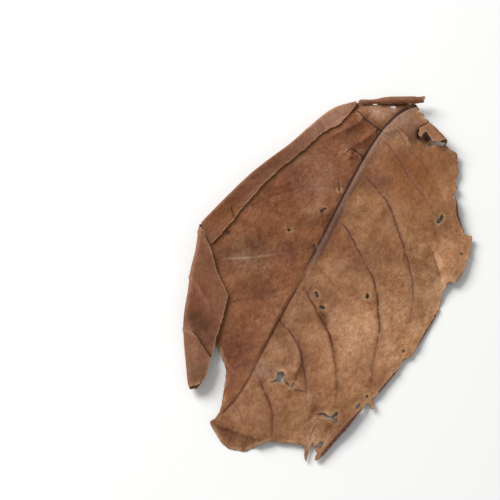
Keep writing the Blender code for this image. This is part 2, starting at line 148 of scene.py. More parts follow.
def make_lamp(name, place, side, power):
    """A square soft lamp that faces the leaf."""
    data = bpy.data.lights.new(name, "AREA")
    data.shape, data.size, data.energy = "SQUARE", side, power
    lamp = bpy.data.objects.new(name, data)
    lamp.location = place
    away = np.array(place) / np.linalg.norm(place)
    lamp.rotation_euler = (math.acos(away[2]), 0.0, math.atan2(away[1], away[0]) + math.pi / 2)
    bpy.context.scene.collection.objects.link(lamp)


def make_surround():
    """An even pale world."""
    world = bpy.data.worlds.new("pale_surround")
    world.use_nodes = True
    world.node_tree.nodes["Background"].inputs["Color"].default_value = (1.0, 1.0, 1.0, 1.0)
    world.node_tree.nodes["Background"].inputs["Strength"].default_value = SURROUND
    bpy.context.scene.world = world


make_floor()
make_lamp("key_lamp", KEY_FROM, KEY_SIDE, KEY_POWER)
make_lamp("fill_lamp", FILL_FROM, FILL_SIDE, FILL_POWER)
make_surround()
bpy.context.scene.view_settings.view_transform = "Standard"
print("floor, two lamps and a pale surround")

# %% [markdown]
# ## Lines on the flat sheet
# The leaf is worked out as a flat sheet first, in millimetres, because veins, tears and holes are easy
# to place there, and folds then carry them along. The same few tools serve every line: a rounded line
# through chosen points, the distance of any point to a line, and a test for what is inside a loop.
# Each works on whole arrays of points at once.

# %% Lines and distances
def smooth_line(points, step=2.0):
    """A line through the points: between two of them, the cubic whose slopes follow their neighbours."""
    points = np.array(points, float)
    knots = np.vstack([2 * points[0] - points[1], points, 2 * points[-1] - points[-2]])
    out = []
    for a, b, c, d in zip(knots[:-3], knots[1:-2], knots[2:-1], knots[3:]):
        count = max(1, round(np.linalg.norm(c - b) / step))
        t = (np.arange(count) / count)[:, None]
        out.append(0.5 * (2 * b + (c - a) * t + (2 * a - 5 * b + 4 * c - d) * t ** 2
                          + (3 * b - a - 3 * c + d) * t ** 3))
    return np.vstack([*out, points[-1]])


def arc_lengths(line):
    """Distance along the line to each of its points."""
    return np.concatenate([[0.0], np.cumsum(np.linalg.norm(np.diff(line, axis=0), axis=1))])


def nearest(line, points):
    """Arc length, place and signed distance of the nearest place on a line; left of it is positive.

    For each straight step a to b, the nearest place is a + t (b - a) with t held between 0 and 1."""
    arcs = arc_lengths(line)
    best = np.full(len(points), np.inf)
    arc, side, place = np.zeros(len(points)), np.ones(len(points)), np.zeros((len(points), 2))
    for start, a, b in zip(arcs, line[:-1], line[1:]):
        d, rel = b - a, points - a
        t = np.clip(rel @ d / (d @ d), 0.0, 1.0)
        gap = ((rel - t[:, None] * d) ** 2).sum(axis=1)
        closer = np.flatnonzero(gap < best)
        t = t[closer]
        best[closer] = gap[closer]
        place[closer] = a + t[:, None] * d
        arc[closer] = start + t * math.hypot(*d)
        side[closer] = np.where(d[0] * rel[closer, 1] - d[1] * rel[closer, 0] >= 0, 1.0, -1.0)
    return arc, place, np.sqrt(best) * side


def inside_loop(loop, points):
    """True inside a closed loop: a level ray from the point crosses the loop an odd number of times."""
    x, y = points.T
    inside = np.zeros(len(points), bool)
    for (x0, y0), (x1, y1) in zip(loop, np.roll(loop, -1, axis=0)):
        if y0 != y1:
            inside ^= ((y0 > y) != (y1 > y)) & (x < x0 + (x1 - x0) * (y - y0) / (y1 - y0))
    return inside


def depth_in_loop(loop, points):
    """How deep each point lies inside a closed loop; outside it is negative."""
    loop = np.array(loop, float)
    _, _, gap = nearest(np.vstack([loop, loop[:1]]), points)
    return np.abs(gap) * np.where(inside_loop(loop, points), 1.0, -1.0)


print("a rounded quarter turn has", len(smooth_line([(0, 0), (5, 1), (9, 5), (10, 10)])), "points")

# %% [markdown]
# Nothing on a dry leaf is quite smooth, so one seeded noise is used for ragged edges, blisters and
# wrinkles: random heights on a square lattice, blended between the lattice points. Where several sizes
# of it are needed, each is a row with its size, its height and its seed.

# %% Noise on the flat sheet
def lattice_noise(points, size, seed):
    """Noise from -1 to 1: random heights on a lattice, blended across each square by 3t^2 - 2t^3."""
    table = np.random.default_rng(seed).uniform(-1.0, 1.0, (128, 128))
    scaled = points / size + 500.0
    cell = np.floor(scaled).astype(int)
    t = scaled - cell
    t = t * t * (3.0 - 2.0 * t)
    i, j = cell.T % 128
    i2, j2 = (i + 1) % 128, (j + 1) % 128
    low = table[i, j] * (1 - t[:, 0]) + table[i2, j] * t[:, 0]
    high = table[i, j2] * (1 - t[:, 0]) + table[i2, j2] * t[:, 0]
    return low * (1 - t[:, 1]) + high * t[:, 1]


print("noise at the middle:", lattice_noise(np.zeros((1, 2)), 5.0, 1).round(3))

# %% [markdown]
# ## Midrib and side veins
# The midrib runs the whole length. From it the side veins leave at a wide angle and bend towards the
# tip, six on the right half and four on the left, where they run on into the folded margin. Each has a
# tone: how dark it has dried, or, below zero, how pale.

# %% Midrib and side veins
MIDRIB = smooth_line([
    (1.8, 103.8), (-1.5, 99), (-4.5, 92), (-7.1, 78), (-7.5, 60), (-6.8, 40), (-5.9, 22),
    (-5.1, 8), (-4.7, -6), (-4.5, -30), (-3.9, -52), (-2.8, -76), (-3.5, -88), (-6.5, -102.2)])
VEIN_WAVER = ((7.0, 0.50, 3), (2.6, 0.22, 5))


def wavering(points):
    """A rounded line whose points stray sideways by small noise of two sizes, as a real vein does."""
    line = smooth_line(points, 1.6)
    for size, most, seed in VEIN_WAVER:
        line = line + most * np.column_stack([lattice_noise(line, size, seed + k) for k in (0, 1)])
    return line


SIDE_VEINS = [wavering(points) for points in (
    [(-6.6, 79), (5.9, 71.5), (17.9, 62.6), (28.3, 55.6), (36, 50)],
    [(-8.6, 56.5), (6.3, 48.8), (14, 43.4), (25.8, 31), (36.6, 18.4), (46.2, 4.4), (51.9, -11)],
    [(-7.6, 24.5), (4.2, 19.6), (15.7, 9.4), (28.5, -2.4), (38.7, -19.4), (43.3, -31.5), (48.9, -49)],
    [(-5.4, -15.5), (5.7, -25.6), (19.6, -36.2), (29.8, -49.4), (36.5, -61)],
    [(-4.4, -40.5), (6.6, -46.6), (16.9, -56.8), (28.5, -75)],
    [(-3.6, -68), (8.1, -78.4), (15.5, -86.6), (22.1, -98)],
    [(-8.2, 66), (-20, 60.5), (-33, 49.5), (-42, 36), (-50, 21), (-57, 6)],
    [(-8.2, 42), (-22, 34), (-38, 18), (-50, -2), (-58, -16), (-66, -34)],
    [(-5.6, 3.2), (-16.4, -5.9), (-31.5, -18.1), (-43.9, -27.6), (-53, -43), (-60, -60)],
    [(-5.2, -25), (-14, -33), (-25.5, -42), (-35, -54), (-43, -69), (-46, -82)],
)]
VEIN_TONES = [0.45, 0.85, 0.90, 0.95, 0.90, 0.90, 0.15, 0.18, -0.60, 0.30]
SMALL_VEINS = [wavering(points) for points in (
    [(-4.5, -3), (1.8, -6.9), (6.2, -9), (11.8, -11.7)],
    [(-3.3, -90.4), (0.6, -92.1), (4, -95.5)],
    [(-8, 88), (2, 84), (9.5, 77.6), (17.1, 74.5), (25, 69)],
)]
print("midrib", round(arc_lengths(MIDRIB)[-1]), "mm,", len(SIDE_VEINS), "side veins")

# %% [markdown]
# ## How a fold works
# A dry leaf folds along a line: the sheet wraps round a small radius and lies back over the blade. A
# bend modifier would bend the whole sheet, so the rule is written out instead. Each crease measures, for
# every point of the flat sheet, how far along it and how far beyond it the point lies.

# %% The rule of a fold
class Fold:
    """A crease, and where the sheet beyond it goes.

    At a reach q beyond the crease the sheet is radius * sin(q / radius) further out and
    radius * (1 - cos(q / radius)) higher, until it has made its full turn; from there it runs straight,
    rising or sinking at its own angle, but never closer to the blade than the height it lies at. The
    crease goes in short steps, because behind a coarse corner the folded sheet would cross itself."""

    MARGIN, STEP, WAVE = 8.0, 0.4, 1.9

    def __init__(self, points, outer_side, radius, turn, rise, lies_at=0.0, swell=(1.0, 1.0), uneven=0.0):
        self.lies_at, self.swell, self.uneven = lies_at, swell, uneven
        self.line = smooth_line(points, self.STEP)
        self.length = arc_lengths(self.line)[-1]
        ends = np.array([self.line[0] - self.line[1], self.line[-1] - self.line[-2]])
        ends *= self.MARGIN / np.linalg.norm(ends, axis=1)[:, None]
        self.long_line = np.vstack([self.line[0] + ends[0], self.line, self.line[-1] + ends[1]])
        self.outer_side, self.radius = outer_side, radius
        self.turn, self.rise = math.radians(turn), math.radians(rise)

    def arc_and_reach(self, points):
        """Arc length along the crease, distance beyond it, and the crease place, for each point."""
        arc, place, gap = nearest(self.long_line, points)
        return arc - self.MARGIN, gap * self.outer_side, place

    def place_at(self, arcs):
        """The crease's own points at these arc lengths."""
        known = arc_lengths(self.long_line) - self.MARGIN
        return np.column_stack([np.interp(arcs, known, self.long_line[:, i]) for i in (0, 1)])

    def flat_points(self, arcs, reaches):
        """Points of the flat sheet at arc lengths along the crease and reaches beyond it."""
        arcs, reaches = np.broadcast_arrays(np.asarray(arcs, float), np.asarray(reaches, float))
        along = self.place_at(arcs + 1.0) - self.place_at(arcs - 1.0)
        along /= np.linalg.norm(along, axis=1)[:, None]
        outward = np.column_stack([-along[:, 1], along[:, 0]]) * self.outer_side
        return self.place_at(arcs) + outward * reaches[:, None]

    def radius_at(self, arc):
        """The radius along the crease: from one share of it to another, with a slow wave."""
        first, last = self.swell
        wave = self.uneven * np.sin(arc / self.WAVE + 1.0)
        return self.radius * (first + (last - first) * arc / self.length + wave)

    def folded(self, arc, reach):
        """How far out from the crease, and how much higher, each reach ends up."""
        radius = self.radius_at(arc)
        angle, rest = np.minimum(reach / radius, self.turn), np.maximum(reach - self.turn * radius, 0.0)
        out = radius * np.sin(angle) + rest * math.cos(self.turn)
        up = radius * (1 - np.cos(angle)) + rest * math.sin(self.rise)
        return out, np.where(rest > 0, np.maximum(up, self.lies_at), up)

    def seen_through(self, points):
        """Flat places of points that are seen on top of a part folded right over."""
        arc, reach, _ = self.arc_and_reach(np.array(points, float))
        return self.flat_points(arc, math.pi * self.radius - reach)


# %% [markdown]
# ## The two folds of the left margin
# The long strip runs from the stalk end down to the corner. The flap, from the corner to the tip, is
# wider and lies over the strip's end. Their widths change along the crease, as on the real leaf.

# %% Strip and flap
STRIP = Fold([(-26.6, 91.9), (-34.6, 81.6), (-39.4, 65.4), (-43.2, 50), (-48.3, 32.7), (-53, 16.4),
              (-56.6, 2.9), (-58.9, -8.6), (-60.2, -17)], -1, 1.2, 180, -15, 1)
STRIP_WIDTH = [(0, 1.6), (8, 7.4), (18, 9.5), (30, 7), (50, 7), (75, 8.1), (90, 9.4), (103, 11.2),
               (116, 11.6)]
STRIP_END = (-2.4, 5)
FLAP = Fold([(-60, -15.8), (-58.4, -19.6), (-54.6, -29.6), (-52, -39), (-47.8, -49.4), (-43.8, -60.4),
             (-40, -68), (-33, -78.6), (-26, -89), (-23.4, -92)], -1, 1.8, 180, -6, 1.1)
FLAP_WIDTH = [(0, 0.8), (8, 4.2), (13.5, 7.2), (18, 10.5), (26.6, 14.4), (35.5, 19.2), (40.2, 19.4),
              (53.6, 18), (60, 16.2), (67, 13.6), (73.5, 11.9), (78.4, 10.1), (86, 7)]
SLACK, STRIP_MOST, STRIP_END_REACH = 0.9, 18.0, 13.0
TURNED_WIDTH, LEAST_TURN = 3.0, 0.3


def edge_reach(fold, widths, arc):
    """Reach of the flat sheet beyond a crease whose folded part is seen this wide.

    A narrow folded part has made only a share of the turn round the crease."""
    seen = np.interp(arc, *zip(*widths))
    return seen + (math.pi - 1.0) * fold.radius * np.clip(seen / TURNED_WIDTH, LEAST_TURN, 1.0)


def strip_end_arc(reach):
    """Arc length at which the strip ends: its end runs slantwise, under the flap."""
    return STRIP.length + np.interp(reach, (0.0, STRIP_END_REACH), STRIP_END)


def in_strip(arc, reach):
    """True for the points that belong to the strip."""
    return (reach > 0) & (reach < STRIP_MOST) & (arc > -SLACK) & (arc < strip_end_arc(reach) + SLACK)


def beyond(most, start, end):
    """The test for the points less than most mm beyond a crease, from start to end along it."""
    return lambda arc, reach: (reach > 0) & (reach < most) & (arc > start) & (arc < end)


print("strip crease", round(STRIP.length), "mm, flap crease", round(FLAP.length), "mm")

# %% [markdown]
# ## The roll and the curl
# Beside the stalk the margin has rolled up into a loose tube. On the stalk's other side it has curled
# over a wider radius, with a hollow under it.

# %% Roll and curl
ROLL = Fold([(-25.2, 93.3), (-11, 101.2), (3.1, 108)], 1, 2, 275, 0, 0, (0.62, 1.08), 0.06)
ROLL_HELD, ROLL_GAP = 26, 2.6
ROLL_TORN = [(33.3, 9.4), (32.3, 7.9), (33.5, 6.6), (32.4, 5), (33.4, 3.8), (31, ROLL_GAP)]
CURL = Fold([(13.3, 96.1), (24.5, 88.8)], 1, 2.2, 180, -8, 0, (0.55, 1.10))
CURL_EDGE = [(-0.6, 3.2), (-0.4, 6.6), (2.6, 8.7), (4.3, 8.2), (3.6, 6.2), (3, 4.5), (10.4, 4.6),
             (13.2, 2.2)]
print("roll", round(ROLL.length), "mm, curl", round(CURL.length), "mm")

# %% [markdown]
# ## Thin rims
# Along four stretches of the right margin the last two millimetres have turned up and over, so that a
# thin line of the underside shows beyond a dark line. They are folds too, of a very small radius, on
# sheet that is added beyond the margin.

# %% Rims
RIM_RADIUS, RIM_TURN, NOWHERE = 0.55, 165.0, -99.0
RIMS = [Fold(points, 1, RIM_RADIUS, RIM_TURN, 0) for points in (
    [(41.9, 62.4), (45, 58.6), (47.6, 53.8), (51.6, 48.8), (54.4, 46)],
    [(60.9, 3), (60.9, -8), (60.3, -19), (59.9, -26.6)],
    [(57.3, -37.5), (55.6, -46), (53.4, -56.8)],
    [(51.6, -62), (50.4, -68), (49, -76), (47, -84), (45.4, -91), (43.8, -96.6)],
)]
RIM_REACH = [3.2, 1.9, 2.2, 3.4]


def rim_depth(points):
    """Depth inside the added sheet: its reach swells from nothing at each end of the crease."""
    depths = []
    for rim, full in zip(RIMS, RIM_REACH):
        arc, reach, _ = rim.arc_and_reach(points)
        swell = np.sqrt(np.clip(np.sin(math.pi * np.clip(arc / rim.length, 0.0, 1.0)), 0.0, 1.0))
        within = (arc > 0) & (arc < rim.length)
        depths.append(np.where(within, full * swell - np.abs(reach), NOWHERE))
    return np.max(depths, axis=0)


print("rims of", [round(rim.length) for rim in RIMS], "mm")

# %% [markdown]
# ## The margin
# The margin is a loop round the whole flat sheet: the broken stalk, the right margin, the torn tip, the
# long tear beside the tip, and then the outer edges of the folded parts. The corners are chosen points,
# and a fine noise makes the edge between them ragged, as dry leaf breaks in short steps.

# %% The loop of the margin
STALK_END = [(-1.6, 103.8), (-0.4, 105.8), (2, 105.2), (3.2, 103.8)]
STALK_SIDE = [(4.4, 101.6), (7.6, 101.4), (7.8, 99.8), (10.2, 98.9), (11.9, 97.9)]
RIGHT_MARGIN = [
    (24.4, 88), (25.6, 88.9), (28.1, 88), (32.4, 87.4), (34, 85.6), (36, 82.4), (37.8, 78.5),
    (38.7, 74), (39.5, 69.9), (41.2, 69.2), (42.2, 65.8), (40.4, 63.4), (43.8, 62.6), (45.8, 58.8),
    (48.1, 54), (52.7, 48.5), (55.7, 45.4), (59.6, 46.2), (60.8, 42.4), (62.4, 36.6), (63.3, 30),
    (63.7, 22.8), (62.6, 16.8), (59.9, 15.8), (59.5, 12.4), (60.8, 3.6), (61.4, -2), (60.9, -13),
    (60.3, -26), (60.7, -27.8), (57.9, -31.8), (57.5, -37.5), (56, -45.5), (53.6, -57.2),
    (55.1, -59), (56.1, -61.8), (54.9, -62.4), (52.9, -59.6), (51.9, -61), (51, -66),
    (49.9, -73), (48.2, -80.6), (46.7, -88), (45.2, -94), (43.4, -97.4)]
TIP_MARGIN = [
    (41.6, -93.6), (38.6, -90.2), (38.9, -95.4), (39.9, -99.8), (37.8, -97.2), (36.4, -93),
    (32, -94.1), (27.4, -96), (21.4, -98.2), (17.4, -102.6), (12.6, -108.2), (5.1, -110.2),
    (-0.3, -108.6), (-5.2, -105.6), (-7.9, -103.6)]
TEAR = [(-6.9, -101.4), (-6.3, -97), (-8.7, -89.6), (-11.7, -81.4), (-15.2, -75.4), (-21.2, -69.8),
        (-28.6, -64.4), (-27.6, -69), (-23.8, -77), (-21.6, -85), (-21.9, -91.6)]
EDGE_STEP, LEAST_STEP = 2.0, 0.4


def flap_outline():
    """Outer edge of the flap, from the tip end of its crease up to the corner."""
    arcs = np.append(np.arange(FLAP.length, EDGE_STEP, -EDGE_STEP), 0.0)
    return np.vstack([FLAP.flat_points([FLAP.length], 0.0),
                      FLAP.flat_points(arcs, edge_reach(FLAP, FLAP_WIDTH, arcs))])


def strip_outline():
    """Outer edge of the strip, from its end under the flap up to the roll."""
    reaches = np.array([0.0, 4.5, 9.0, 13.2])
    arcs = np.arange(STRIP.length - EDGE_STEP, 0.0, -EDGE_STEP)
    return np.vstack([STRIP.flat_points(strip_end_arc(reaches), reaches),
                      STRIP.flat_points(arcs, edge_reach(STRIP, STRIP_WIDTH, arcs)),
                      STRIP.flat_points([0.0], 0.0)])


def roll_outline():
    """Edge of the roll, from its open left end, round its torn right end, to the notch beside the stalk."""
    arcs = np.arange(0.0, 33.0, 4.0)
    full = ROLL.turn * ROLL.radius_at(arcs)
    return np.vstack([ROLL.flat_points(-0.8, np.linspace(0.0, full[0], 6)),
                      ROLL.flat_points(arcs[1:], full[1:]), ROLL.flat_points(*zip(*ROLL_TORN)),
                      ROLL.flat_points(ROLL_HELD, [ROLL_GAP, 0.0])])


def curl_outline():
    """Edge of the curl: a torn tab hangs at its stalk end, and from there a straight edge runs on.

    The edge is named by its arc and by how far in from the crease it is seen, beyond the half turn."""
    arcs, seen = np.array(CURL_EDGE).T
    reaches = math.pi * CURL.radius_at(arcs) + seen
    return np.vstack([CURL.flat_points(arcs[0], np.linspace(0.0, reaches[0] * 0.8, 4)),
                      CURL.flat_points(arcs, reaches),
                      CURL.flat_points(CURL.length, np.linspace(reaches[-1] * 0.8, 0.0, 5))])


def sheet_outline():
    """The whole margin of the flat sheet, clockwise, without doubled points."""
    loop = np.vstack([STALK_END, STALK_SIDE, curl_outline(), RIGHT_MARGIN, TIP_MARGIN, TEAR,
                      flap_outline(), strip_outline(), roll_outline()])
    step = np.linalg.norm(loop - np.roll(loop, 1, axis=0), axis=1)
    return loop[step > LEAST_STEP]


OUTLINE = sheet_outline()
print("margin of", len(OUTLINE), "points,", round(arc_lengths(OUTLINE)[-1]), "mm round")

# %% [markdown]
# ## Holes and slits
# Insects have eaten one larger hole and several pinholes. Three more holes and the small slits near the
# margin are places where the dry blade gave way. A hole is a loop, or a line with a width, and both give
# a depth that is taken away from the sheet's own.

# %% Holes and slits
HOLE_LOOPS = [
    [(7.8, -66.4), (9, -65.2), (10.4, -64.6), (11.4, -65.6), (11.4, -67.2), (12.4, -68.4), (12.2, -69.8),
     (10.8, -70.4), (9.8, -71), (8.2, -72.8), (7.6, -72.6), (8.6, -70.8), (9.4, -69.8), (8.6, -68.2)],
    [(34.2, -76.6), (35.4, -75), (37, -74.1), (38.6, -75.2), (40.4, -75.2), (41.2, -72.6), (42.3, -71.2),
     (42.6, -72.4), (41.8, -74.6), (42.6, -76), (41.2, -76.6), (39.8, -76.4), (38.4, -76.6), (36.8, -75.4),
     (35.2, -76.8)],
    [(-10.6, 98.4), (-8.6, 100.1), (-7, 99.6), (-7.4, 96.6), (-9, 97.2)],
    [(16.8, 85.6), (18.4, 87.8), (20.8, 90), (25, 90.4), (24.4, 88.4), (21.4, 88), (19.6, 86.2),
     (17.8, 84.6)],
]
SLITS = [
    ([(-13.6, 22.9), (-13.3, 23.6)], 0.75), ([(-12.6, 25), (-12.4, 25.3)], 0.55),
    ([(-22.9, 5), (-22.6, 5.1)], 0.75), ([(-8.1, 4), (-7.9, 4.2)], 0.7),
    ([(4.9, -19.7), (5.3, -20)], 0.6), ([(6.2, -20.7), (6.4, -21.3)], 0.6),
    ([(10.6, -25.6), (11.8, -25.3)], 0.8), ([(28, -9.4), (28.3, -10.6)], 0.75),
    ([(17.5, -68.3), (17.7, -69.9)], 0.55),
    ([(41.6, 48.9), (41.6, 46.6), (41.1, 44.9)], 0.7), ([(58.8, 33.8), (59.1, 34.2)], 0.6),
    ([(55.7, -27.4), (55.8, -27.9)], 0.6), ([(50.6, -56.9), (50.5, -57.6)], 0.6),
    ([(49.4, -62.8), (49, -65)], 0.65), ([(43.3, -75.4), (43.6, -75.9)], 0.6),
    ([(42.4, -88.4), (41.7, -90)], 0.95), ([(42, -93.5), (42.2, -94.1)], 0.6),
    ([(-18.9, 95.9), (-17.2, 96.6)], 0.5), ([(-11.2, 38.6), (-11.8, 40.4)], 0.45),
]


def hole_depth(points):
    """Depth inside the nearest hole or slit; outside all of them it is negative."""
    deepest = np.full(len(points), NOWHERE)
    for loop in HOLE_LOOPS:
        deepest = np.maximum(deepest, depth_in_loop(loop, points))
    for line, half_width in SLITS:
        _, _, gap = nearest(np.array(line, float), points)
        deepest = np.maximum(deepest, half_width - np.abs(gap))
    return deepest


print(len(HOLE_LOOPS), "larger holes,", len(SLITS), "pinholes and slits")

# %% [markdown]
# ## The grid and its depth
# The surface is a function of two parameters, the flat sheet's X and Y. At every grid point the depth
# says how far inside the leaf the point lies: positive inside, negative outside or in a hole.

# %% The grid and its depth
CELL, MID_BLADE = 0.74, np.array([10.0, 0.0])
RAGGED, RAGGED_HOLE = ((3.2, 0.34, 11), (1.5, 0.22, 12)), (1.3, 0.16, 14)


def grid(low, high):
    """Grid points row by row, and two triangles for each cell, whose diagonals alternate."""
    across = np.arange(low[0], high[0], CELL)
    up = np.arange(low[1], high[1], CELL)
    points = np.stack(np.meshgrid(across, up), axis=-1).reshape(-1, 2)
    rows, columns = len(up), len(across)
    first = (np.arange(rows - 1)[:, None] * columns + np.arange(columns - 1)).ravel()
    a, b, c, d = first, first + 1, first + columns + 1, first + columns
    even = ((first // columns + first % columns) % 2 == 0)[:, None]
    one = np.where(even, np.column_stack([a, b, c]), np.column_stack([a, b, d]))
    two = np.where(even, np.column_stack([a, c, d]), np.column_stack([b, c, d]))
    return points, np.vstack([one, two])


def sheet_depth(points):
    """Depth inside the leaf: the margin's own with its rims, made ragged, less the holes."""
    depth = np.maximum(depth_in_loop(OUTLINE, points), rim_depth(points))
    for size, height, seed in RAGGED:
        depth = depth + height * lattice_noise(points, size, seed)
    size, height, seed = RAGGED_HOLE
    return np.minimum(depth, -(hole_depth(points) + height * lattice_noise(points, size, seed)))


field, field_triangles = grid(OUTLINE.min(axis=0) - 4.0, OUTLINE.max(axis=0) + 4.0)
field_depth = sheet_depth(field)
print("grid of", len(field), "points, of which inside:", int((field_depth > 0).sum()))

# %% [markdown]
# A grid has steps along a slanted edge. So each triangle that the margin crosses is cut there: where the
# depth, taken as straight along an edge, is zero. Neighbours share the new points, so no gap opens.

# %% Cutting the grid at the margin
CUT_RANGE = (0.15, 0.85)


def cut_at_margin(points, depth, triangles):
    """The triangles inside the margin, with those across it cut to their inner part.

    A crossed triangle has one corner on its own side of the margin. The two cuts lie on the edges from
    that corner, at the share depth / (depth - depth) of the way, held off the corners."""
    inside = depth > 0
    count = inside[triangles].sum(axis=1)
    crossed = triangles[(count == 1) | (count == 2)]
    lone_inside = inside[crossed].sum(axis=1) == 1
    odd = (inside[crossed] == lone_inside[:, None]).argmax(axis=1)
    corner, left, right = np.take_along_axis(crossed, (odd[:, None] + np.arange(3)) % 3, axis=1).T
    pairs = np.sort(np.vstack([np.column_stack([corner, left]), np.column_stack([corner, right])]), axis=1)
    pairs, place = np.unique(pairs, axis=0, return_inverse=True)
    place = place.ravel() + len(points)
    on_left, on_right = place[:len(corner)], place[len(corner):]
    share = depth[pairs[:, 0]] / (depth[pairs[:, 0]] - depth[pairs[:, 1]])
    share = np.clip(share, *CUT_RANGE)[:, None]
    cuts = points[pairs[:, 0]] * (1 - share) + points[pairs[:, 1]] * share
    small = np.column_stack([corner, on_left, on_right])[lone_inside]
    wide = np.vstack([np.column_stack([on_left, left, right]),
                      np.column_stack([on_left, right, on_right])])[np.tile(~lone_inside, 2)]
    return np.vstack([points, cuts]), np.vstack([triangles[count == 3], small, wide])


def joined_to(seed, points, triangles):
    """Only the triangles that are joined to the seed place, spread from neighbour to neighbour."""
    reached = np.zeros(len(points), bool)
    start = ((points[triangles].mean(axis=1) - seed) ** 2).sum(axis=1).argmin()
    reached[triangles[start]] = True
    total = 0
    while reached.sum() > total:
        total = reached.sum()
        reached[triangles[reached[triangles].any(axis=1)]] = True
    return triangles[reached[triangles].all(axis=1)]


def without_spares(points, triangles):
    """The points in use, numbered anew, and the triangles between them."""
    used, renumbered = np.unique(triangles, return_inverse=True)
    return points[used], renumbered.reshape(-1, 3)


sheet, faces = cut_at_margin(field, field_depth, field_triangles)
faces = joined_to(MID_BLADE, sheet, faces)
sheet, faces = without_spares(sheet, faces)
print("flat sheet:", len(sheet), "points,", len(faces), "triangles")

# %% [markdown]
# ## Height of the blade
# The blade stands on its midrib and its right margin. The heights between are a soft mean of named
# places, less a groove along the midrib and the side veins, plus slow waves that grow towards the
# margins, the droop of the right margin and the bend of the lobe beside the tip.

# %% Height of the blade
CAD_THICKNESS, THICKNESS = 0.7, 0.35
HEIGHTS = np.array([
    # x and y on the flat sheet, height of the middle of the blade in mm
    (-26, 92, 2.6), (-36, 80, 5.0), (-12, 88, 3.2), (0, 103, 5.5), (14, 96, 5.0), (25, 88, 3.5),
    (10, 80, 4.0), (38, 74, 2.8), (-9, 72, 2.2), (-8, 45, 1.7), (-8, 20, 1.6), (-6, -10, 1.6),
    (-5, -40, 1.7), (-3, -66, 2.0), (-3, -86, 2.6), (-7, -102, 4.2), (12, 55, 3.8), (30, 55, 5.0),
    (44, 52, 3.2), (62, 36, 3.4), (36, 25, 5.2), (15, 25, 3.8), (60, 10, 2.2), (20, -2, 4.0),
    (42, -2, 5.0), (61, -8, 1.2), (15, -32, 3.8), (36, -35, 4.8), (58, -36, 2.0), (14, -62, 3.8),
    (32, -62, 4.6), (50, -62, 1.6), (18, -84, 3.8), (34, -84, 3.2), (44, -96, 1.6), (10, -99, 4.2),
    (26, -97, 2.4), (-25, 66, 5.4), (-44, 60, 8.5), (-24, 40, 6.0), (-50, 38, 11.0), (-28, 15, 7.0),
    (-57, 18, 12.0), (-62, -6, 11.5), (-40, -5, 9.0), (-20, -12, 4.8), (-52, -30, 9.5), (-32, -32, 6.2),
    (-17, -42, 4.2), (-40, -56, 6.0), (-22, -62, 3.2), (-36, -76, 2.2), (-12, -82, 2.8), (-26, -90, 1.2),
])
HEIGHT_REACH, HEIGHT_OF_FEET = 13.0, 0.62
GROOVE_DEPTH, GROOVE_REACH, VEIN_DIP, VEIN_REACH = 0.5, 5.0, 0.12, 3.5
WAVE_HEIGHT, WAVE_LENGTH, WAVE_START, WAVE_FULL_AT, WAVE_SLANT = 0.9, 43.0, (4.0, -12.0), 60.0, 0.35
DROOP_PLACE, DROOP_DEPTH, DROOP_REACH = (62.0, -14.0), 1.7, 16.0
LOBE_LINE, LOBE_SLOPE = np.array([(-7.5, -103.4), (15.5, -100.8)]), 0.42
LOBE_LENGTH, LOBE_BELOW = 23.0, -100.0


def distance_to(lines, points):
    """Distance from each point to the nearest of several lines."""
    return np.min([np.abs(nearest(line, points)[2]) for line in lines], axis=0)


def margin_wave(points):
    """A sine along the leaf whose height grows with the distance from the midrib."""
    across = np.clip(np.abs(points[:, 0] - WAVE_START[0]) / WAVE_FULL_AT, 0.0, 1.0) ** 1.5
    along = points[:, 1] - WAVE_START[1] - WAVE_SLANT * points[:, 0]
    return WAVE_HEIGHT * across * np.sin(2 * math.pi * along / WAVE_LENGTH)


def blade_height(points):
    """Height of the middle of the blade: each named height counts by exp(-distance^2 / (2 reach^2))."""
    weight = np.full(len(points), 1e-9 * len(HEIGHTS))
    height = weight * HEIGHTS[:, 2].mean()
    for x, y, named in HEIGHTS:
        near = np.exp(-((points[:, 0] - x) ** 2 + (points[:, 1] - y) ** 2) / (2 * HEIGHT_REACH ** 2))
        weight, height = weight + near, height + near * named
    height /= weight
    height -= GROOVE_DEPTH * np.exp(-distance_to([MIDRIB], points) / GROOVE_REACH)
    height -= VEIN_DIP * np.exp(-distance_to(SIDE_VEINS, points) / VEIN_REACH)
    height += (GROOVE_DEPTH + VEIN_DIP) / 2 - HEIGHT_OF_FEET + margin_wave(points)
    fall = np.linalg.norm(points - np.array(DROOP_PLACE), axis=1) / DROOP_REACH
    height -= DROOP_DEPTH * np.exp(-fall ** 2)
    arc, _, below = nearest(LOBE_LINE, points)
    on_lobe = (arc > 0) & (arc < LOBE_LENGTH) & (points[:, 1] < LOBE_BELOW)
    height -= LOBE_SLOPE * np.maximum(-below, 0.0) * on_lobe
    return np.maximum(height - (CAD_THICKNESS - THICKNESS) / 2, THICKNESS / 2)


print("height at the middle of the right half:", blade_height(np.array([[36.0, 25.0]])).round(2), "mm")

# %% [markdown]
# ## Creases, cracks and the pleat
# Dry blade breaks in small steps rather than bending smoothly. Each crease is a line with a height and
# a reach on either side of it: a short reach on one side makes a lip, and a long one an easy slope. Where
# the blade only swells or sinks between its veins, the form is rounded instead.

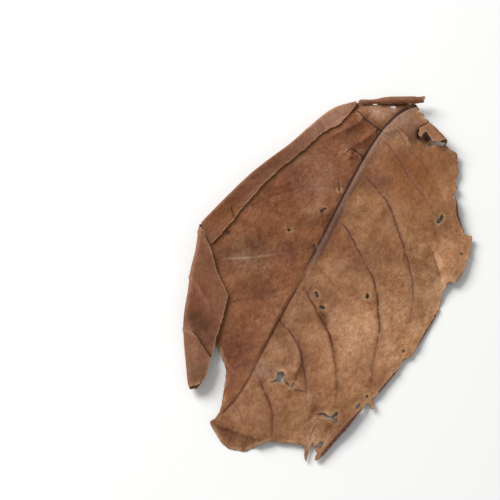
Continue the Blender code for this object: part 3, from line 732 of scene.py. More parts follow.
# %% Creases, cracks and the pleat
PLEAT = Fold([(-39.5, -66.6), (-22, -76.4)], 1, 1, 180, 0).long_line
PLEAT_HEIGHT, PLEAT_BACK, PLEAT_FRONT = 2.4, 8, 0.9
CRACK_BY_STALK = [(-25.6, 87.1), (-23.8, 86.9), (-21.7, 86.2), (-19.2, 83.5), (-15.1, 83.5), (-12.3, 82.5),
                  (-8.4, 82.1)]
CRACK_BELOW = [(-17.4, 61.9), (-16.6, 63.8), (-13.8, 63.8), (-10.3, 63.2), (-9.4, 61.9)]
CREASE_BY_CURL = [(-3, 85), (0.8, 87.2), (6.1, 84.6), (9.5, 81.3), (14.4, 80.9)]
CREASES = [
    # line, height, reach on its left, reach on its right
    (CRACK_BY_STALK, 1.2, 5, 0.5),
    ([(-19.4, 83), (-21.1, 77.8), (-24.5, 71.7)], 2.2, 2, 4.2),
    ([(-11.1, 78.4), (-13.9, 70.1), (-17.9, 65.2)], 1.7, 1.6, 3.2),
    ([(-26, 85.4), (-27.3, 81), (-27.5, 76.6)], 1.7, 1.4, 2.6),
    ([(-21.9, 81.8), (-20.9, 81)], -1, 1.2, 1.2),
    (CRACK_BELOW, 1.1, 1.8, 0.5),
    ([(-16, 62.2), (-15, 59.2), (-13.4, 61)], 1.4, 1.3, 1.3),
    (CREASE_BY_CURL, 1.6, 1, 3),
    ([(11.8, 97.3), (9.6, 94.4), (8.9, 91.1), (9.2, 88.4), (10.5, 86.3), (13.3, 85.3)], 1.6, 0.7, 2.6),
    ([(14.4, 91.2), (16.5, 88.6)], -2.2, 2.8, 2.8),
    ([(-7.5, -103.4), (4, -102.4), (15.5, -100.8)], 1.6, 3, 0.7),
    ([(46.5, 27.9), (50.2, 23.4), (53.8, 18.9), (56.5, 15.2)], -0.6, 1.6, 0.7),
    ([(39.9, 43), (43.1, 40.4), (45.6, 37.2)], -0.5, 1.2, 0.7),
    ([(-33, 51), (-25, 57), (-17, 62)], 0.3, 1.2, 4),
    ([(-29.5, 37.5), (-34.5, 29), (-39.5, 21.5)], 0.35, 3, 1),
    ([(37.6, -73.4), (33.5, -77.6), (31.6, -83)], -0.6, 0.9, 2.5),
    ([(36.9, -79.4), (36.2, -84), (36.8, -88.6)], 0.3, 2, 0.6),
    ([(1, -43.5), (8, -47), (12.8, -51.5), (15.6, -57), (16.4, -62)], 1.9, 1.6, 6),
    ([(20.5, -37.5), (26.5, -45), (31.5, -52.5), (35.5, -60)], 0.9, 1.2, 6),
    ([(7, -26.5), (12, -29.5), (16, -33.5)], 1.2, 1.4, 5),
    ([(-5.4, -24), (-5, -40), (-4.4, -60)], 1, 0.5, 3.5),
    ([(15.5, 79.5), (28, 69), (38, 60), (47, 52.5)], -0.8, 3.5, 5),
    ([(46.9, 28.4), (51, 23.6), (55.6, 17.4)], -1.4, 1, 2.6),
]
SWELLS = [
    # line or place, height in the middle, width at which it has all but gone
    ([(15, -29.5), (16.5, -32.5)], -1.5, 4.2), ([(33, -75.6), (35, -75)], -1.4, 2.8),
    ([(4.5, -53), (8, -57)], 0.7, 5), ([(-2, 35), (12, 38.5)], 1.1, 5),
    ([(-18, -80), (-21, -72)], 1, 3), ([(47, 10), (51, -6)], 0.7, 6),
    ([(22, 44.5), (36, 47)], 0.9, 3.5), ([(30, 43), (44, 38)], -0.8, 2.2),
    ([(0, -44), (3.5, -48)], -1.1, 3), ([(3, -33.5), (10.5, -29)], 0.9, 3.5),
    ([(10.5, 92), (11.5, 86.5)], -1.4, 3), ([(-15, 31), (-13, 25)], 0.7, 3),
]


def crease_lift(line, height, left_reach, right_reach, points):
    """Height at the line, falling off as exp(-distance / reach) with its own reach on each side."""
    _, _, gap = nearest(np.array(line, float), points)
    return height * np.exp(-np.maximum(gap, 0.0) / left_reach - np.maximum(-gap, 0.0) / right_reach)


def ridge(gap, width):
    """A rounded ridge of height one: exp(-(gap / width)^2)."""
    return np.exp(-(gap / width) ** 2)


def crease_relief(points):
    """All the creases and swells together."""
    soft = sum(height * ridge(nearest(np.array(line), points)[2], width) for line, height, width in SWELLS)
    return soft + sum(crease_lift(*crease, points) for crease in CREASES)


print(len(CREASES), "creases and cracks,", len(SWELLS), "swells and hollows")

# %% [markdown]
# ## Folding the sheet
# Now every point of the flat sheet gets its place. Beyond a crease the point goes where the fold's rule
# says. The strip and the flap follow the blade beneath them, while a roll, a curl or a rim keeps to the
# height of its own crease. The sheet would rather tear than stretch, so the few faces at the ends of
# the folds that would be stretched to more than MOST_STRETCH times their length are left out.

# %% Folding the sheet
FOLDS = [
    # fold, and the test for the points of the flat sheet that belong to it
    (STRIP, in_strip), (FLAP, beyond(28, -SLACK, FLAP.length + SLACK)),
    (ROLL, beyond(14, -SLACK, ROLL.length + 2)), (CURL, beyond(18, -2 * SLACK, CURL.length + SLACK)),
    *[(rim, beyond(5, 0, rim.length)) for rim in RIMS],
]
LAID_OVER, PLEAT_EASE, MOST_STRETCH = (STRIP, FLAP), 4.0, 2.4


def place_sheet(points):
    """Where each point of the flat sheet lies on the folded leaf, in millimetres."""
    plan, anchor, lift = points.copy(), points.copy(), np.zeros(len(points))
    for fold, inside in FOLDS:
        arc, reach, place = fold.arc_and_reach(points)
        mine = np.flatnonzero(inside(arc, reach))
        out, up = fold.folded(arc[mine], reach[mine])
        away = (points[mine] - place[mine]) / np.maximum(reach[mine], 1e-6)[:, None]
        plan[mine] = place[mine] + away * out[:, None]
        lift[mine] = up
        anchor[mine] = plan[mine] if fold in LAID_OVER else place[mine]
        if fold is FLAP:
            over = np.clip((reach[mine] - FLAP.radius * math.pi) / PLEAT_EASE, 0.0, 1.0)
            lift[mine] += over * crease_lift(PLEAT, PLEAT_HEIGHT, PLEAT_FRONT, PLEAT_BACK, plan[mine])
    return np.column_stack([plan, blade_height(anchor) + lift])


def stretch(flat, placed, triangles):
    """How many times its flat length the most stretched edge of each triangle has."""
    def edges(points):
        return np.linalg.norm(points[triangles] - points[np.roll(triangles, 1, axis=1)], axis=2)
    return (edges(placed) / np.maximum(edges(flat), 0.05)).max(axis=1)


placed = place_sheet(sheet)
torn = stretch(sheet, placed, faces) > MOST_STRETCH
print("faces torn by the folds:", int(torn.sum()))
faces = joined_to(MID_BLADE, sheet, faces[~torn])
used = np.unique(faces)
sheet, placed, faces = sheet[used], placed[used], np.searchsorted(used, faces)

# %% [markdown]
# ## Fine relief and thickness
# Between its veins a dry blade is blistered and wrinkled, more so near its margin. That relief is added
# along the surface's own normal, so it works on the folded parts as well. The two faces then lie half a
# thickness to either side, and the ribs stand out below the underside and rest on the ground.

# %% Fine relief and thickness
BLISTERS = ((13.0, 0.55, 21), (6.0, 0.26, 22), (2.6, 0.09, 23))
VEIN_VALLEY, VEIN_VALLEY_WIDTH, LEFT_VALLEY_SHARE = 0.10, 1.0, 0.2
BAND_RISE, BAND_PLACE, BAND_WIDTH = 0.22, 0.6, 1.2
GROOVE_FALL, GROOVE_PLACE, GROOVE_WIDTH = 0.42, -1.1, 0.8
FOLD_FALL, FOLD_WIDTH = 0.18, 1.0
CALM, CALM_OVER = 0.15, 3.0
MARGIN_CURL, MARGIN_CURL_REACH = (6.5, 0.55, 24), 5.0
STALK_HALF_FROM, STALK_HALF_OVER = -14.0, 26.0
RIB_DEPTH, RIB_TIP_DEPTH, RIB_HALF_WIDTH = 1.9, 0.7, 2.4
VEIN_RIB, VEIN_RIB_REACH = 0.45, 0.8


def vertex_normals(points, triangles):
    """Mean normal of the faces round each point, each counted by its area."""
    a, b, c = points[triangles].transpose(1, 0, 2)
    face = np.repeat(np.cross(b - a, c - a), 3, axis=0)
    total = np.column_stack([np.bincount(triangles.ravel(), face[:, k], len(points)) for k in range(3)])
    return total / np.linalg.norm(total, axis=1)[:, None]


def near_stalk(flat):
    """One in the half towards the stalk, nothing in the half towards the tip, a smooth step between."""
    t = np.clip((flat[:, 1] - STALK_HALF_FROM) / STALK_HALF_OVER, 0.0, 1.0)
    return t * t * (3.0 - 2.0 * t)


def calm(flat):
    """Share of the relief: least where one part lies on another and at the rims, so that they stay clear."""
    share = np.ones(len(flat))
    for fold, widths in ((STRIP, STRIP_WIDTH), (FLAP, FLAP_WIDTH)):
        arc, reach, _ = fold.arc_and_reach(flat)
        clear = np.clip((-reach - np.interp(arc, *zip(*widths))) / CALM_OVER, CALM, 1.0)
        share = np.minimum(share, np.where((arc > 0) & (arc < fold.length), clear, 1.0))
    for rim, full in zip(RIMS, RIM_REACH):
        share = np.minimum(share, np.clip((distance_to([rim.line], flat) - full) / CALM_OVER, CALM, 1.0))
    return share


def vein_relief(flat):
    """Narrow valleys along the side veins, and the midrib's own form on the upper face.

    Towards the stalk it is a low rounded band with a groove on its left, towards the tip a plain fold."""
    across, stalk = nearest(MIDRIB, flat)[2], near_stalk(flat)
    banded = BAND_RISE * ridge(across - BAND_PLACE, BAND_WIDTH)
    banded -= GROOVE_FALL * ridge(across - GROOVE_PLACE, GROOVE_WIDTH)
    valley = VEIN_VALLEY * ridge(distance_to(SIDE_VEINS, flat), VEIN_VALLEY_WIDTH)
    valley *= np.where(across > 0, 1.0, LEFT_VALLEY_SHARE)
    return stalk * banded - (1 - stalk) * FOLD_FALL * ridge(across, FOLD_WIDTH) - valley


def fine_relief(flat, depth):
    """The veins, the creases, blisters of three sizes, and a stronger unevenness near the margin."""
    relief = crease_relief(flat) + vein_relief(flat)
    for size, height, seed in BLISTERS:
        relief += height * lattice_noise(flat, size, seed)
    size, height, seed = MARGIN_CURL
    relief += height * lattice_noise(flat, size, seed) * np.exp(-np.abs(depth) / MARGIN_CURL_REACH)
    return relief * calm(flat)


def rib_depth(flat):
    """How far the ribs stand out below: half an ellipse for the midrib, a low ridge for a side vein."""
    arc, _, gap = nearest(MIDRIB, flat)
    depth = RIB_DEPTH + (RIB_TIP_DEPTH - RIB_DEPTH) * arc / arc_lengths(MIDRIB)[-1]
    midrib = depth * np.sqrt(np.clip(1.0 - (gap / RIB_HALF_WIDTH) ** 2, 0.0, 1.0))
    side = VEIN_RIB * np.exp(-(distance_to(SIDE_VEINS, flat) / VEIN_RIB_REACH) ** 2)
    return np.maximum(midrib, side)


depth = sheet_depth(sheet)
normals = vertex_normals(placed, faces)
middle = placed + normals * fine_relief(sheet, depth)[:, None]
normals = vertex_normals(middle, faces)
upper = middle + normals * THICKNESS / 2
lower = middle - normals * (THICKNESS / 2 + rib_depth(sheet))[:, None]
lower[:, 2] = np.maximum(lower[:, 2], 0.0)
upper[:, 2] = np.maximum(upper[:, 2], THICKNESS)
print("top at", upper[:, 2].max().round(1), "mm, points on the ground:", int((lower[:, 2] == 0).sum()))

# %% [markdown]
# ## One closed mesh
# The upper face, the underside and the thin wall of torn edge between them share their points, so the
# leaf is closed. The wall follows the edges that only one face has. Each of the three gets its own
# material, because they differ: matt and mottled above, smoother and ruddier below, pale where torn.

# %% One closed mesh
SHARP_ANGLE = math.radians(55)


def margin_edges(triangles):
    """The edges, in the direction of their face, that no other face runs back along."""
    edges = np.vstack([triangles[:, [0, 1]], triangles[:, [1, 2]], triangles[:, [2, 0]]])
    count = triangles.max() + 1
    there, back = edges[:, 0] * count + edges[:, 1], edges[:, 1] * count + edges[:, 0]
    return edges[~np.isin(there, back)]


def closed_mesh(name, top, bottom, triangles):
    """Both faces and the wall between them as one mesh, all facing outwards."""
    count = len(top)
    a, b = margin_edges(triangles).T
    wall = np.vstack([np.column_stack([a, a + count, b + count]), np.column_stack([a, b + count, b])])
    points = (np.vstack([top, bottom]) - np.append(PLAN_CENTRE, 0.0)) * MM
    shell = np.vstack([triangles, triangles[:, ::-1] + count, wall])
    mesh = bpy.data.meshes.new(name)
    mesh.from_pydata(points, [], shell.tolist())
    slots = np.repeat([0, 1, 2], [len(triangles), len(triangles), len(wall)])
    mesh.polygons.foreach_set("material_index", slots.astype(np.int32))
    mesh.polygons.foreach_set("use_smooth", np.ones(len(shell), bool))
    mesh.validate()
    mesh.set_sharp_from_angle(angle=SHARP_ANGLE)
    return mesh


leaf_mesh = closed_mesh("dried_leaf", upper, lower, faces)
leaf = bpy.data.objects.new("dried_leaf", leaf_mesh)
bpy.context.scene.collection.objects.link(leaf)
print("leaf of", len(leaf_mesh.polygons), "triangles")

# %% [markdown]
# ## What the materials need to know
# The patterns follow the leaf's own structure, so each point carries a few measures in millimetres: its
# flat place, its distance across from the midrib, to the nearest side vein and to the nearest crack,
# both with a sign and without, and its depth from the margin. A signed distance stays exact across a
# line when it is blended over a face, and the unsigned one says where the sign can be trusted. A few
# more say how dark or how pale the nearest side vein has dried, and how deep the painted shade in the
# nearest crack, crease or pleat is.

# %% Measures for the materials
# Cracks, creases and the pleat line, each drawn as a thin dark line: painted shade inside them, as deep as
# the line's tone.
CRACKS = [np.array(line, float) for line in (
    CRACK_BY_STALK[1:], CRACK_BELOW, CREASE_BY_CURL[1:4],
    FLAP.seen_through([(-36, -68.6), (-30.8, -71.4), (-22, -76)]),
    [(13.2, -68.7), (16.6, -70.3), (17.7, -70.3)], [(18.1, -70.1), (20.1, -70.8), (23.2, -69.7)],
    [(36.3, -83.0), (36.8, -88.6)], [(-13.0, 42.3), (-11.8, 40.4)],
    STRIP.seen_through([(-52.5, -0.3), (-50.9, -1.8), (-48.7, -4.5)]), [(-10.2, 80.8), (-9, 79)],
)]
CRACK_SHADE_TONES = [0.95, 0.9, 0.35, 0.7, 0.9, 0.6, 0.25, 0.7, 1.0, 0.8]
FADE_IN_FROM, FADE_IN_OVER, LEAST_AT_START, FADE_OUT_SHARE, LEAST_AT_END = 2.0, 5.0, 0.15, 0.35, 0.25


def nearest_of(lines, points):
    """Signed distance to the nearest of several lines, which one it is, and the share along it."""
    found = [nearest(line, points) for line in lines]
    gaps = np.array([gap for _, _, gap in found])
    shares = np.array([arc / arc_lengths(line)[-1] for (arc, _, _), line in zip(found, lines)])
    which, row = np.abs(gaps).argmin(axis=0), np.arange(len(points))
    return gaps[which, row], which, shares[which, row]


def vein_tone(which, share, across):
    """Tone of the nearest side vein: it fades in over 5 mm from the midrib, and out over its last third."""
    start = np.clip((np.abs(across) - FADE_IN_FROM) / FADE_IN_OVER, LEAST_AT_START, 1.0)
    end = np.clip((1.0 - share) / FADE_OUT_SHARE, LEAST_AT_END, 1.0)
    return np.array(VEIN_TONES)[which] * start * end


def add_measure(mesh, name, values):
    """Store one measure, or one vector, for every point of both faces."""
    values = np.concatenate([values, values])
    kind, field_name = ("FLOAT", "value") if values.ndim == 1 else ("FLOAT_VECTOR", "vector")
    mesh.attributes.new(name, kind, "POINT").data.foreach_set(field_name, values.ravel())


across = nearest(MIDRIB, sheet)[2]
to_vein, which_vein, vein_share = nearest_of(SIDE_VEINS, sheet)
to_small, _, _ = nearest_of(SMALL_VEINS, sheet)
to_crack, which_crack, _ = nearest_of(CRACKS, sheet)
tone = vein_tone(which_vein, vein_share, across)
measures = {
    "flat": np.column_stack([sheet, np.zeros(len(sheet))]), "across": across, "margin": depth,
    "vein_side": to_vein, "vein_gap": np.abs(to_vein), "vein_dark": np.maximum(tone, 0.0),
    "vein_pale": np.maximum(-tone, 0.0), "small_side": to_small, "small_gap": np.abs(to_small),
    "crack_side": to_crack, "crack_gap": np.abs(to_crack), "crack_shade": np.array(CRACK_SHADE_TONES)[which_crack]}
for name, values in measures.items():
    add_measure(leaf_mesh, name, values)
print("measures:", ", ".join(measures))

# %% [markdown]
# ## Patterns for dry leaf
# A few small patterns build all three finishes. Patches are soft clouds of a given size, a spot is one
# soft place, and a band follows a measured line at a given distance. They are kept together with the
# material that they belong to, so that each finish below reads as a list of layers.

# %% Patterns for dry leaf
SEED_SHIFT = (7.3, 3.1)


class Finish:
    """One finish of the leaf: its material and node tree, and the stored measures as sockets in on."""

    def __init__(self, name):
        self.material, self.tree, self.shader = new_material(name)
        self.on = {}
        for measure in measures:
            stored = node(self.tree, "Attribute", attribute_name=measure)
            self.on[measure] = stored.outputs["Vector" if measure == "flat" else "Fac"]
        leaf_mesh.materials.append(self.material)

    def patches(self, size, seed, low, high, most=1.0, squeeze=(1.0, 1.0)):
        """Soft patches about size mm wide: noise, taken from low to high as a smooth step."""
        place = node(self.tree, "VectorMath", {
            0: self.on["flat"], 1: (squeeze[0] / size, squeeze[1] / size, 0.0),
            2: (SEED_SHIFT[0] * seed, SEED_SHIFT[1] * seed, 0.0)}, operation="MULTIPLY_ADD").outputs[0]
        noise = node(self.tree, "TexNoise", {"Vector": place, "Scale": 1.0, "Detail": 3.0, "Roughness": 0.6},
                     noise_dimensions="2D").outputs[0]
        return node(self.tree, "MapRange", {0: noise, 1: low, 2: high, 4: most},
                    interpolation_type="SMOOTHSTEP").outputs[0]

    def spot(self, place, radius, most=1.0):
        """One soft spot on the flat sheet: most at its place, nothing beyond its radius."""
        gap = node(self.tree, "VectorMath", {0: self.on["flat"], 1: (*place, 0.0)},
                   operation="DISTANCE").outputs["Value"]
        return node(self.tree, "MapRange", {0: gap, 1: radius, 2: 0.0, 4: most},
                    interpolation_type="SMOOTHSTEP").outputs[0]

    def band(self, side, offset, full, faded, most=1.0):
        """A band along a measured line: most within full mm of the offset, nothing beyond faded mm."""
        moved = node(self.tree, "Math", {0: self.on[side], 1: offset}, operation="SUBTRACT").outputs[0]
        gap = node(self.tree, "Math", {0: moved}, operation="ABSOLUTE").outputs[0]
        return node(self.tree, "MapRange", {0: gap, 1: faded, 2: full, 4: most},
                    interpolation_type="SMOOTHSTEP").outputs[0]

    def both(self, *masks):
        """Several masks multiplied together."""
        out = masks[0]
        for mask in masks[1:]:
            out = node(self.tree, "Math", {0: out, 1: mask}, operation="MULTIPLY").outputs[0]
        return out

    def lines(self, rows):
        """Layers along measured lines; a row is a band's settings, a colour and the masks that limit it."""
        return [(self.both(self.band(*row[:5]), *row[6:]), row[5]) for row in rows]

    def clouds(self, rows, seed, *limits):
        """Clouds that darken the colour; a row is their size, noise from and to, strength and colour."""
        return [(self.both(self.patches(size, seed + k, low, high, most), *limits), code, "MULTIPLY")
                for k, (size, low, high, most, code) in enumerate(rows)]

    def painted(self, base, layers):
        """Colours laid over a base in turn; a layer is a mask, a colour and, if it isn't MIX, its blend."""
        colour = linear(base)
        for mask, code, *blend in layers:
            colour = node(self.tree, "Mix", {0: mask, 6: colour, 7: linear(code)}, data_type="RGBA",
                          blend_type=blend[0] if blend else "MIX").outputs[2]
        return colour

    def raised(self, layers):
        """A height: the sum of masks, each times its own share of the full relief."""
        height = 0.0
        for mask, share in layers:
            height = node(self.tree, "Math", {0: mask, 1: share, 2: height},
                          operation="MULTIPLY_ADD").outputs[0]
        return height

    def dress(self, colour, height, relief_mm, roughness, gloss, specular):
        """Lead colour, relief and roughness to the shader; a height of one stands relief_mm high."""
        bump = node(self.tree, "Bump", {"Strength": 1.0, "Distance": relief_mm * MM, "Height": height})
        dull = node(self.tree, "Math", {0: roughness, 1: gloss}, operation="SUBTRACT")
        sockets = {"Base Color": colour, "Normal": bump.outputs[0], "Roughness": dull.outputs[0]}
        for socket, made in sockets.items():
            self.tree.links.new(made, self.shader.inputs[socket])
        self.shader.inputs["Specular IOR Level"].default_value = specular
        print(self.material.name, "has", len(self.tree.nodes), "nodes")


# %% [markdown]
# The net is the finest vein work, cells of one to three millimetres. On the real leaf the smallest are
# half as wide, which would not show at this distance, so they are drawn coarser. The ladder veins run
# from side vein to side vein, so they follow the slope of the side veins on each half of the blade.

# %% Net and ladder veins
NET_COARSE, NET_FINE = (3.2, 0.45, 1), (1.5, 0.30, 2)
WANDER_SCALE, WANDER_REACH, NET_PATCH = 0.6, 1.6, 3.0
LADDER_SPACING, LADDER_SLOPE, LADDER_WAVER, LADDER_WIDTH = 5.5, (0.77, -0.64), 14.0, 0.30


def net(finish, size, width, seed):
    """Lines between cells about size mm wide: one on a line, nothing beyond width mm from it.

    The place is first shifted by a slow noise, so that the lines waver instead of running straight."""
    flat = finish.on["flat"]
    wander = node(finish.tree, "TexNoise", {"Vector": flat, "Scale": WANDER_SCALE / size, "Detail": 2.0})
    bent = node(finish.tree, "VectorMath", {
        0: wander.outputs["Color"], 1: (size * WANDER_REACH, size * WANDER_REACH, 0.0), 2: flat},
                operation="MULTIPLY_ADD").outputs[0]
    cells = node(finish.tree, "TexVoronoi", {"Vector": bent, "Scale": 1.0 / size}, feature="DISTANCE_TO_EDGE",
                 voronoi_dimensions="2D").outputs["Distance"]
    line = node(finish.tree, "MapRange", {0: cells, 1: width / size, 2: 0.0},
                interpolation_type="SMOOTHSTEP").outputs[0]
    return finish.both(line, finish.patches(size * NET_PATCH, 60 + seed, 0.40, 0.62))


def ladder(finish):
    """Wavering lines across the strips between side veins: sine of the place along the veins' slope."""
    tree, flat = finish.tree, finish.on["flat"]
    out = node(tree, "Math", {0: finish.on["across"]}, operation="ABSOLUTE").outputs[0]
    up = node(tree, "SeparateXYZ", {0: flat}).outputs["Y"]
    waver = node(tree, "TexNoise", {"Vector": flat, "Scale": 0.14, "Detail": 2.0}).outputs[0]
    run = finish.raised([(up, LADDER_SLOPE[1]), (out, LADDER_SLOPE[0]), (waver, LADDER_WAVER)])
    rung = finish.both(run, math.pi / LADDER_SPACING)
    for operation in ("SINE", "ABSOLUTE"):
        rung = node(tree, "Math", {0: rung}, operation=operation).outputs[0]
    line = node(tree, "MapRange", {0: rung, 1: LADDER_WIDTH, 2: 0.0},
                interpolation_type="SMOOTHSTEP").outputs[0]
    return finish.both(line, finish.patches(12.0, 70, 0.45, 0.65))


print("net cells of", NET_COARSE[0], "and", NET_FINE[0], "mm, ladder every", LADDER_SPACING, "mm")

# %% [markdown]
# ## The upper face
# Dry almond leaf is matt and leathery, from yellow-brown to a pinkish brown. Its tannins have dried in
# clouds of every size, so the colour is a base, a few large named places, and then darkening clouds
# multiplied over both. A few of the named places are painted shade, in the hollow under the curl and in
# hollows on the right half and on the bent lobe by the tip, and one is a painted highlight beside the
# lower midrib. The left half turned away from the light while it dried and is deeper in colour.

# %% Colours of the upper face
BLADE_BROWN, LEFT_BROWN = "#9f744f", "#986542"
PLACES = [
    # x and y on the flat sheet, radius in mm, strength, colour
    (20, 64, 30, 0.80, "#844818"), (8.8, 69, 13, 0.55, "#6e3a0a"), (36, 62, 18, 0.40, "#b0825a"),
    (4, 52, 12, 0.55, "#5c2608"), (7.5, 38.5, 12, 0.65, "#a87a54"), (27, 40, 14, 0.45, "#b4865c"),
    (0, 14, 15, 0.55, "#9c6436"), (2, -22, 14, 0.50, "#82573f"), (18, 8, 16, 0.50, "#5a2c18"),
    # Below, (15.5, -31) is painted shade in the hollow beside a right side vein.
    (15.5, -31, 8, 0.45, "#4e2212"), (44, -24, 40, 0.75, "#d8aa82"), (33, -52, 26, 0.50, "#c4926c"),
    (60, 10, 20, 0.65, "#e6be98"), (52, 32.5, 19, 0.75, "#d2a680"), (40, -90, 14, 0.65, "#c69a7a"),
    # Below, (32.5, -75.5) is painted shade in the hollow beside the hole near the right margin.
    (32.5, -75.5, 4.5, 0.60, "#7a4c32"), (1, -48, 12, 0.40, "#663c24"), (2, -69, 10, 0.60, "#927060"),
    # Below, (15.5, -56) is painted shade in a hollow beside a right side vein, and (-9, -39) is a painted
    # highlight on the lit flank of the crease beside the lower midrib.
    (11, -58, 13, 0.45, "#aa8060"), (15.5, -56, 6, 0.45, "#724838"), (-9, -39, 7, 0.40, "#b08660"),
    (-33, -17, 19, 0.60, "#8c7156"), (-17.5, -5, 10, 0.60, "#5e3e2e"), (-20, -32, 12, 0.65, "#582a0c"),
    (-17.5, 19, 10, 0.70, "#b49272"), (-14, -64, 19, 0.66, "#683612"), (-30, -35, 14, 0.45, "#90663a"),
    (-20, 10, 22, 0.45, "#8e5e3c"), (-26, 40, 24, 0.50, "#a67e68"), (-19.4, 70, 16, 0.55, "#744830"),
    (-16, 92, 12, 0.80, "#c2a48c"), (-3, 95, 9, 0.60, "#8e7a6c"), (5, 92, 11, 0.60, "#886458"),
    (-3, 84, 6, 0.50, "#a48878"), (26, 82, 14, 0.45, "#8e5a36"), (-9.5, 18, 8, 0.60, "#7e4a26"),
    # Below, (0, -106) and (11, -106) darken the lobe that bends down beside the tip: painted shade over its
    # own brown.
    (0, -106, 9, 0.80, "#7c4a2c"), (11, -106, 9, 0.70, "#8a5a3a"), (10, -85, 18, 0.45, "#9e6f50"),
    # Painted shade: (11.5, 88.5) is the dark ring round the curl, (15.4, 90) the hollow under it.
    (11.5, 88.5, 9, 0.80, "#402016"), (15.4, 90, 5.5, 0.95, "#3e241b"),
    (-47.6, -13, 2.2, 0.90, "#33261a"),
]
CLOUDS = [
    # size in mm, noise from and to, strength, what the colour is multiplied by
    (24, 0.40, 0.64, 0.45, "#dfc4a6"), (13, 0.42, 0.66, 0.45, "#d6c8be"),
    (7.5, 0.42, 0.66, 0.38, "#d8beb0"), (4.4, 0.42, 0.66, 0.36, "#dacaaf"),
    (2.6, 0.42, 0.66, 0.36, "#d2b8a4"), (1.6, 0.42, 0.66, 0.32, "#d8c2b0"),
]
EVEN_PLACE = ((22, 70), 42, 0.60)


def half_masks(finish):
    """The left half of the blade, and the stretches of the midrib towards the stalk and towards the tip."""
    up = node(finish.tree, "SeparateXYZ", {0: finish.on["flat"]}).outputs["Y"]
    return [node(finish.tree, "MapRange", {0: source, 1: start, 2: end},
                 interpolation_type="SMOOTHSTEP").outputs[0]
            for source, start, end in ((finish.on["across"], 2.0, -4.0), (up, -18.0, 4.0), (up, -4.0, -18.0))]


def vein_layers(finish, stalk, tip):
    """The veins: thin dark or pale lines with a soft border and a border of painted shade, the midrib in its
    two forms with painted shade in its groove, and the cracks as lines of painted shade.
    """
    band, spot, patches, on = finish.band, finish.spot, finish.patches, finish.on
    on_vein, uneven = band("vein_gap", 0, 1, 2), patches(5, 21, 0.22, 0.52, 0.95)
    return finish.lines([
        # measure, offset, full within, gone beyond, strength, colour, the masks that limit it
        ("vein_side", 0, 0.5, 3, 0.3, "#9c755f", patches(14, 22, 0.45, 0.65)),
        # Painted shade: a soft dark border either side of the darker side veins, for the shade of the valleys
        # they lie in.
        ("vein_side", 0, 0.2, 2.2, 0.45, "#6c3a20", band("vein_gap", 0, 2, 3), on["vein_dark"], uneven),
        ("vein_side", 0, 0.16, 0.75, 1, "#522814", on_vein, on["vein_dark"], uneven),
        ("vein_side", 0, 0.2, 0.95, 1, "#ab8f76", on_vein, on["vein_pale"], uneven, spot((-33, -19), 22)),
        ("small_side", 0, 0.12, 0.5, 0.45, "#5d372c", band("small_gap", 0, 1, 2)),
        ("across", 0.5, 3, 5.5, 0.35, "#5e371c", stalk),
        ("across", 0.4, 0.8, 1.6, 0.85, "#8c6a58", stalk),
        ("across", 0.4, 0.8, 1.6, 0.85, "#502a16", stalk, spot((-7, 18), 52)),
        ("across", 1.4, 1.6, 4.6, 0.5, "#a47e64", spot((-4, 92), 34)),
        ("across", 0.2, 0.1, 0.6, 0.45, "#8a6450", stalk, patches(5, 24, 0.4, 0.6)),
        ("across", 0.9, 0.1, 0.5, 0.5, "#4e3026", stalk, patches(7, 23, 0.4, 0.6)),
        # Painted shade: a thin dark line in the groove on the midrib's left, towards the stalk.
        ("across", -1.2, 0.3, 1, 0.9, "#3c221b", stalk),
        ("across", 1.95, 0.2, 0.85, 0.75, "#4e2f22", stalk, patches(12, 25, 0.3, 0.5), spot((-7, 18), 60)),
        # Painted shade: the same groove's dark line, thicker and darker beside the stalk.
        ("across", -1.8, 0.4, 1.5, 0.9, "#38241c", spot((-1, 100), 12)),
        ("across", 0, 0.5, 1.9, 0.3, "#80502f", tip),
        ("across", 0, 0.12, 0.7, 0.8, "#5f301c", tip),
        ("across", 0.2, 0.2, 1, 0.8, "#4e2612", spot((-4.5, -86), 30)),
        # Painted shade inside the cracks, creases and the pleat, as deep as each line's tone.
        ("crack_side", 0, 0.12, 0.5, 1, "#2c1a13", band("crack_gap", 0, 0.9, 1.6), on["crack_shade"]),
    ])


def make_upper_face():
    """Upper face of dry leaf: matt, clouded, with sunken veins and a worn margin."""
    finish = Finish("dry_leaf_upper_face")
    both, band, patches = finish.both, finish.band, finish.patches
    left_half, stalk, tip = half_masks(finish)
    even = node(finish.tree, "Math", {0: 1.0, 1: finish.spot(*EVEN_PLACE)}, operation="SUBTRACT").outputs[0]
    fine, coarse, rungs = net(finish, *NET_FINE), net(finish, *NET_COARSE), ladder(finish)
    layers = [(left_half, LEFT_BROWN)]
    layers += [(finish.spot((x, y), radius, most), code) for x, y, radius, most, code in PLACES]
    layers += finish.clouds(CLOUDS, 0, even)
    layers += [(both(lines, patches(size, seed, 0.4, 0.6, most)), code, "MULTIPLY")
               for lines, size, seed, most, code in (
                   (fine, 9, 30, 0.45, "#cdb59a"), (coarse, 12, 31, 0.4, "#c4a191"),
                   (rungs, 14, 32, 0.4, "#c4a191"))]
    layers += vein_layers(finish, stalk, tip)
    layers += finish.lines([
        ("margin", 0, 0.2, 2.4, 0.5, "#bb936a", patches(6, 33, 0.35, 0.6)),
        ("margin", 0, 0.1, 0.8, 0.7, "#5b3a28", patches(3, 34, 0.45, 0.6))])
    layers.append((patches(1.7, 35, 0.70, 0.76, 0.45), "#4d3023"))
    height = finish.raised([
        (patches(1.8, 36, 0.25, 0.75), 0.25), (patches(4.5, 37, 0.25, 0.75), 0.80), (fine, -0.07),
        (coarse, -0.14), (rungs, -0.22),
        (both(band("vein_side", 0, 0.1, 0.9), band("vein_gap", 0, 1.2, 2)), -0.3),
        (both(band("across", -1.2, 0.1, 0.7), stalk), -0.8), (band("crack_side", 0, 0.1, 0.6), -1.0)])
    finish.dress(finish.painted(BLADE_BROWN, layers), height, relief_mm=0.28, roughness=0.70,
                 gloss=patches(5, 38, 0.3, 0.7, 0.14), specular=0.28)


make_upper_face()
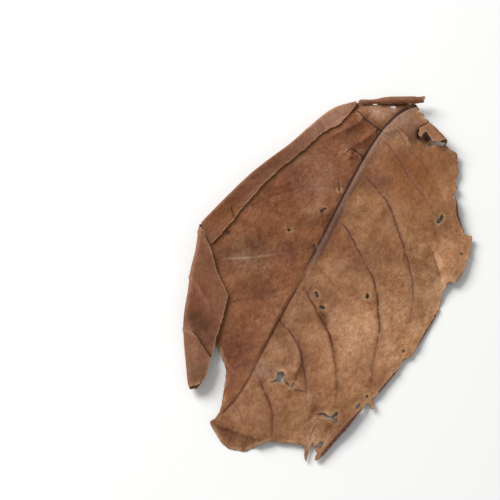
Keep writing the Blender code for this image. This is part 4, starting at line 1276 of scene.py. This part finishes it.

# %% [markdown]
# ## The underside
# The underside shows on the strip, the flap, the roll and the rims. It is smoother and ruddier than the
# upper face, and its veins stand out instead of being sunk. Low on the flap, along the pleat, and on the
# rims it is darkened by painted shade.

# %% Material of the underside
UNDER_BROWN = "#8c5d42"
UNDER_PLACES = [
    # fold, x and y where it is seen on the folded leaf, radius in mm, strength, colour
    (STRIP, -36, 76, 40, 0.80, "#ba8e74"), (STRIP, -51.1, -4, 24, 0.85, "#804c22"),
    # (FLAP, -40, -60.5), (FLAP, -35, -63) and (FLAP, -27.5, -67) are painted shade along the pleat, where the
    # flap dips before it.
    (FLAP, -43, -48, 18, 0.50, "#7c4c2c"), (FLAP, -40, -60.5, 9, 0.65, "#502c10"),
    (FLAP, -35, -63, 11, 0.75, "#50300f"), (FLAP, -27.5, -67, 7, 0.60, "#502e18"),
    (FLAP, -25, -85, 14, 0.80, "#66441c"), (FLAP, -43.6, -48.6, 8, 0.40, "#823e24"),
    (FLAP, -31.4, -76, 10, 0.60, "#72441c"), (CURL, 15.5, 91, 12, 0.90, "#9a6c4a"),
]
# Painted shade on the underside of the turned-over rims.
RIM_SHADE_STRENGTH, RIM_SHADE_BROWN = 0.85, "#633a29"
UNDER_CLOUDS = [
    # as in CLOUDS
    (20, 0.42, 0.66, 0.40, "#e2caac"), (10, 0.45, 0.68, 0.40, "#d6beae"),
    (4, 0.45, 0.70, 0.35, "#d8bfae"), (1.9, 0.45, 0.68, 0.30, "#d0b8a6"),
]


def make_underside():
    """Underside of dry leaf: smoother, with raised veins."""
    finish = Finish("dry_leaf_underside")
    both, band, patches = finish.both, finish.band, finish.patches
    layers = [(finish.spot(fold.seen_through([(x, y)])[0].tolist(), radius, most), code)
              for fold, x, y, radius, most, code in UNDER_PLACES]
    # Painted shade on each rim, darkest at its middle.
    for rim in RIMS:
        middle_of_rim = rim.place_at([rim.length / 2])[0].tolist()
        layers.append((finish.spot(middle_of_rim, rim.length * 0.9 + 3.0, RIM_SHADE_STRENGTH), RIM_SHADE_BROWN))
    layers += finish.clouds(UNDER_CLOUDS, 50)
    coarse, rungs = net(finish, *NET_COARSE), ladder(finish)
    layers.append((both(coarse, patches(10, 55, 0.4, 0.6, 0.25)), "#957058"))
    layers += finish.lines([
        ("vein_side", 0, 0.3, 1.1, 0.3, "#9a7259", band("vein_gap", 0, 1.4, 2.2)),
        ("across", 0, 1.6, 2.8, 0.8, "#8a6853"),
        # Painted shade inside the crack on the strip and along the pleat.
        ("crack_side", 0, 0.15, 0.5, 1, "#2c1a13", band("crack_gap", 0, 0.9, 1.6), finish.on["crack_shade"]),
        ("margin", 0, 0.1, 0.7, 0.75, "#a98263", patches(7, 56, 0.3, 0.5))])
    layers.append((patches(1.9, 57, 0.71, 0.77, 0.5), "#4d3023"))
    height = finish.raised([
        (patches(2, 61, 0.25, 0.75), 0.3), (coarse, 0.2), (rungs, 0.3),
        (patches(7, 62, 0.2, 0.8, squeeze=(1.0, 0.35)), 1.0)])
    finish.dress(finish.painted(UNDER_BROWN, layers), height, relief_mm=0.22, roughness=0.66,
                 gloss=patches(6, 63, 0.3, 0.7, 0.12), specular=0.28)


make_underside()

# %% [markdown]
# ## The torn edge
# Where the blade has torn, its inner layers show: paler, dull and fibrous.

# %% Material of the torn edge
def make_torn_edge():
    """Torn edge of dry leaf: dull, fibrous, pale with dark specks."""
    finish = Finish("dry_leaf_torn_edge")
    patches = finish.patches
    layers = [(patches(1.2, 71, 0.45, 0.65, 0.6), "#6b4630"), (patches(5, 72, 0.45, 0.65, 0.5), "#8a6044")]
    height = finish.raised([(patches(0.8, 73, 0.3, 0.7), 1.0)])
    finish.dress(finish.painted("#a27d5c", layers), height, relief_mm=0.10, roughness=0.82,
                 gloss=patches(2, 74, 0.3, 0.7, 0.08), specular=0.2)


make_torn_edge()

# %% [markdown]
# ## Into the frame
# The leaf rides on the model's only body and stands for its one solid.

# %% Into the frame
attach(leaf, "root")
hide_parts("leaf")
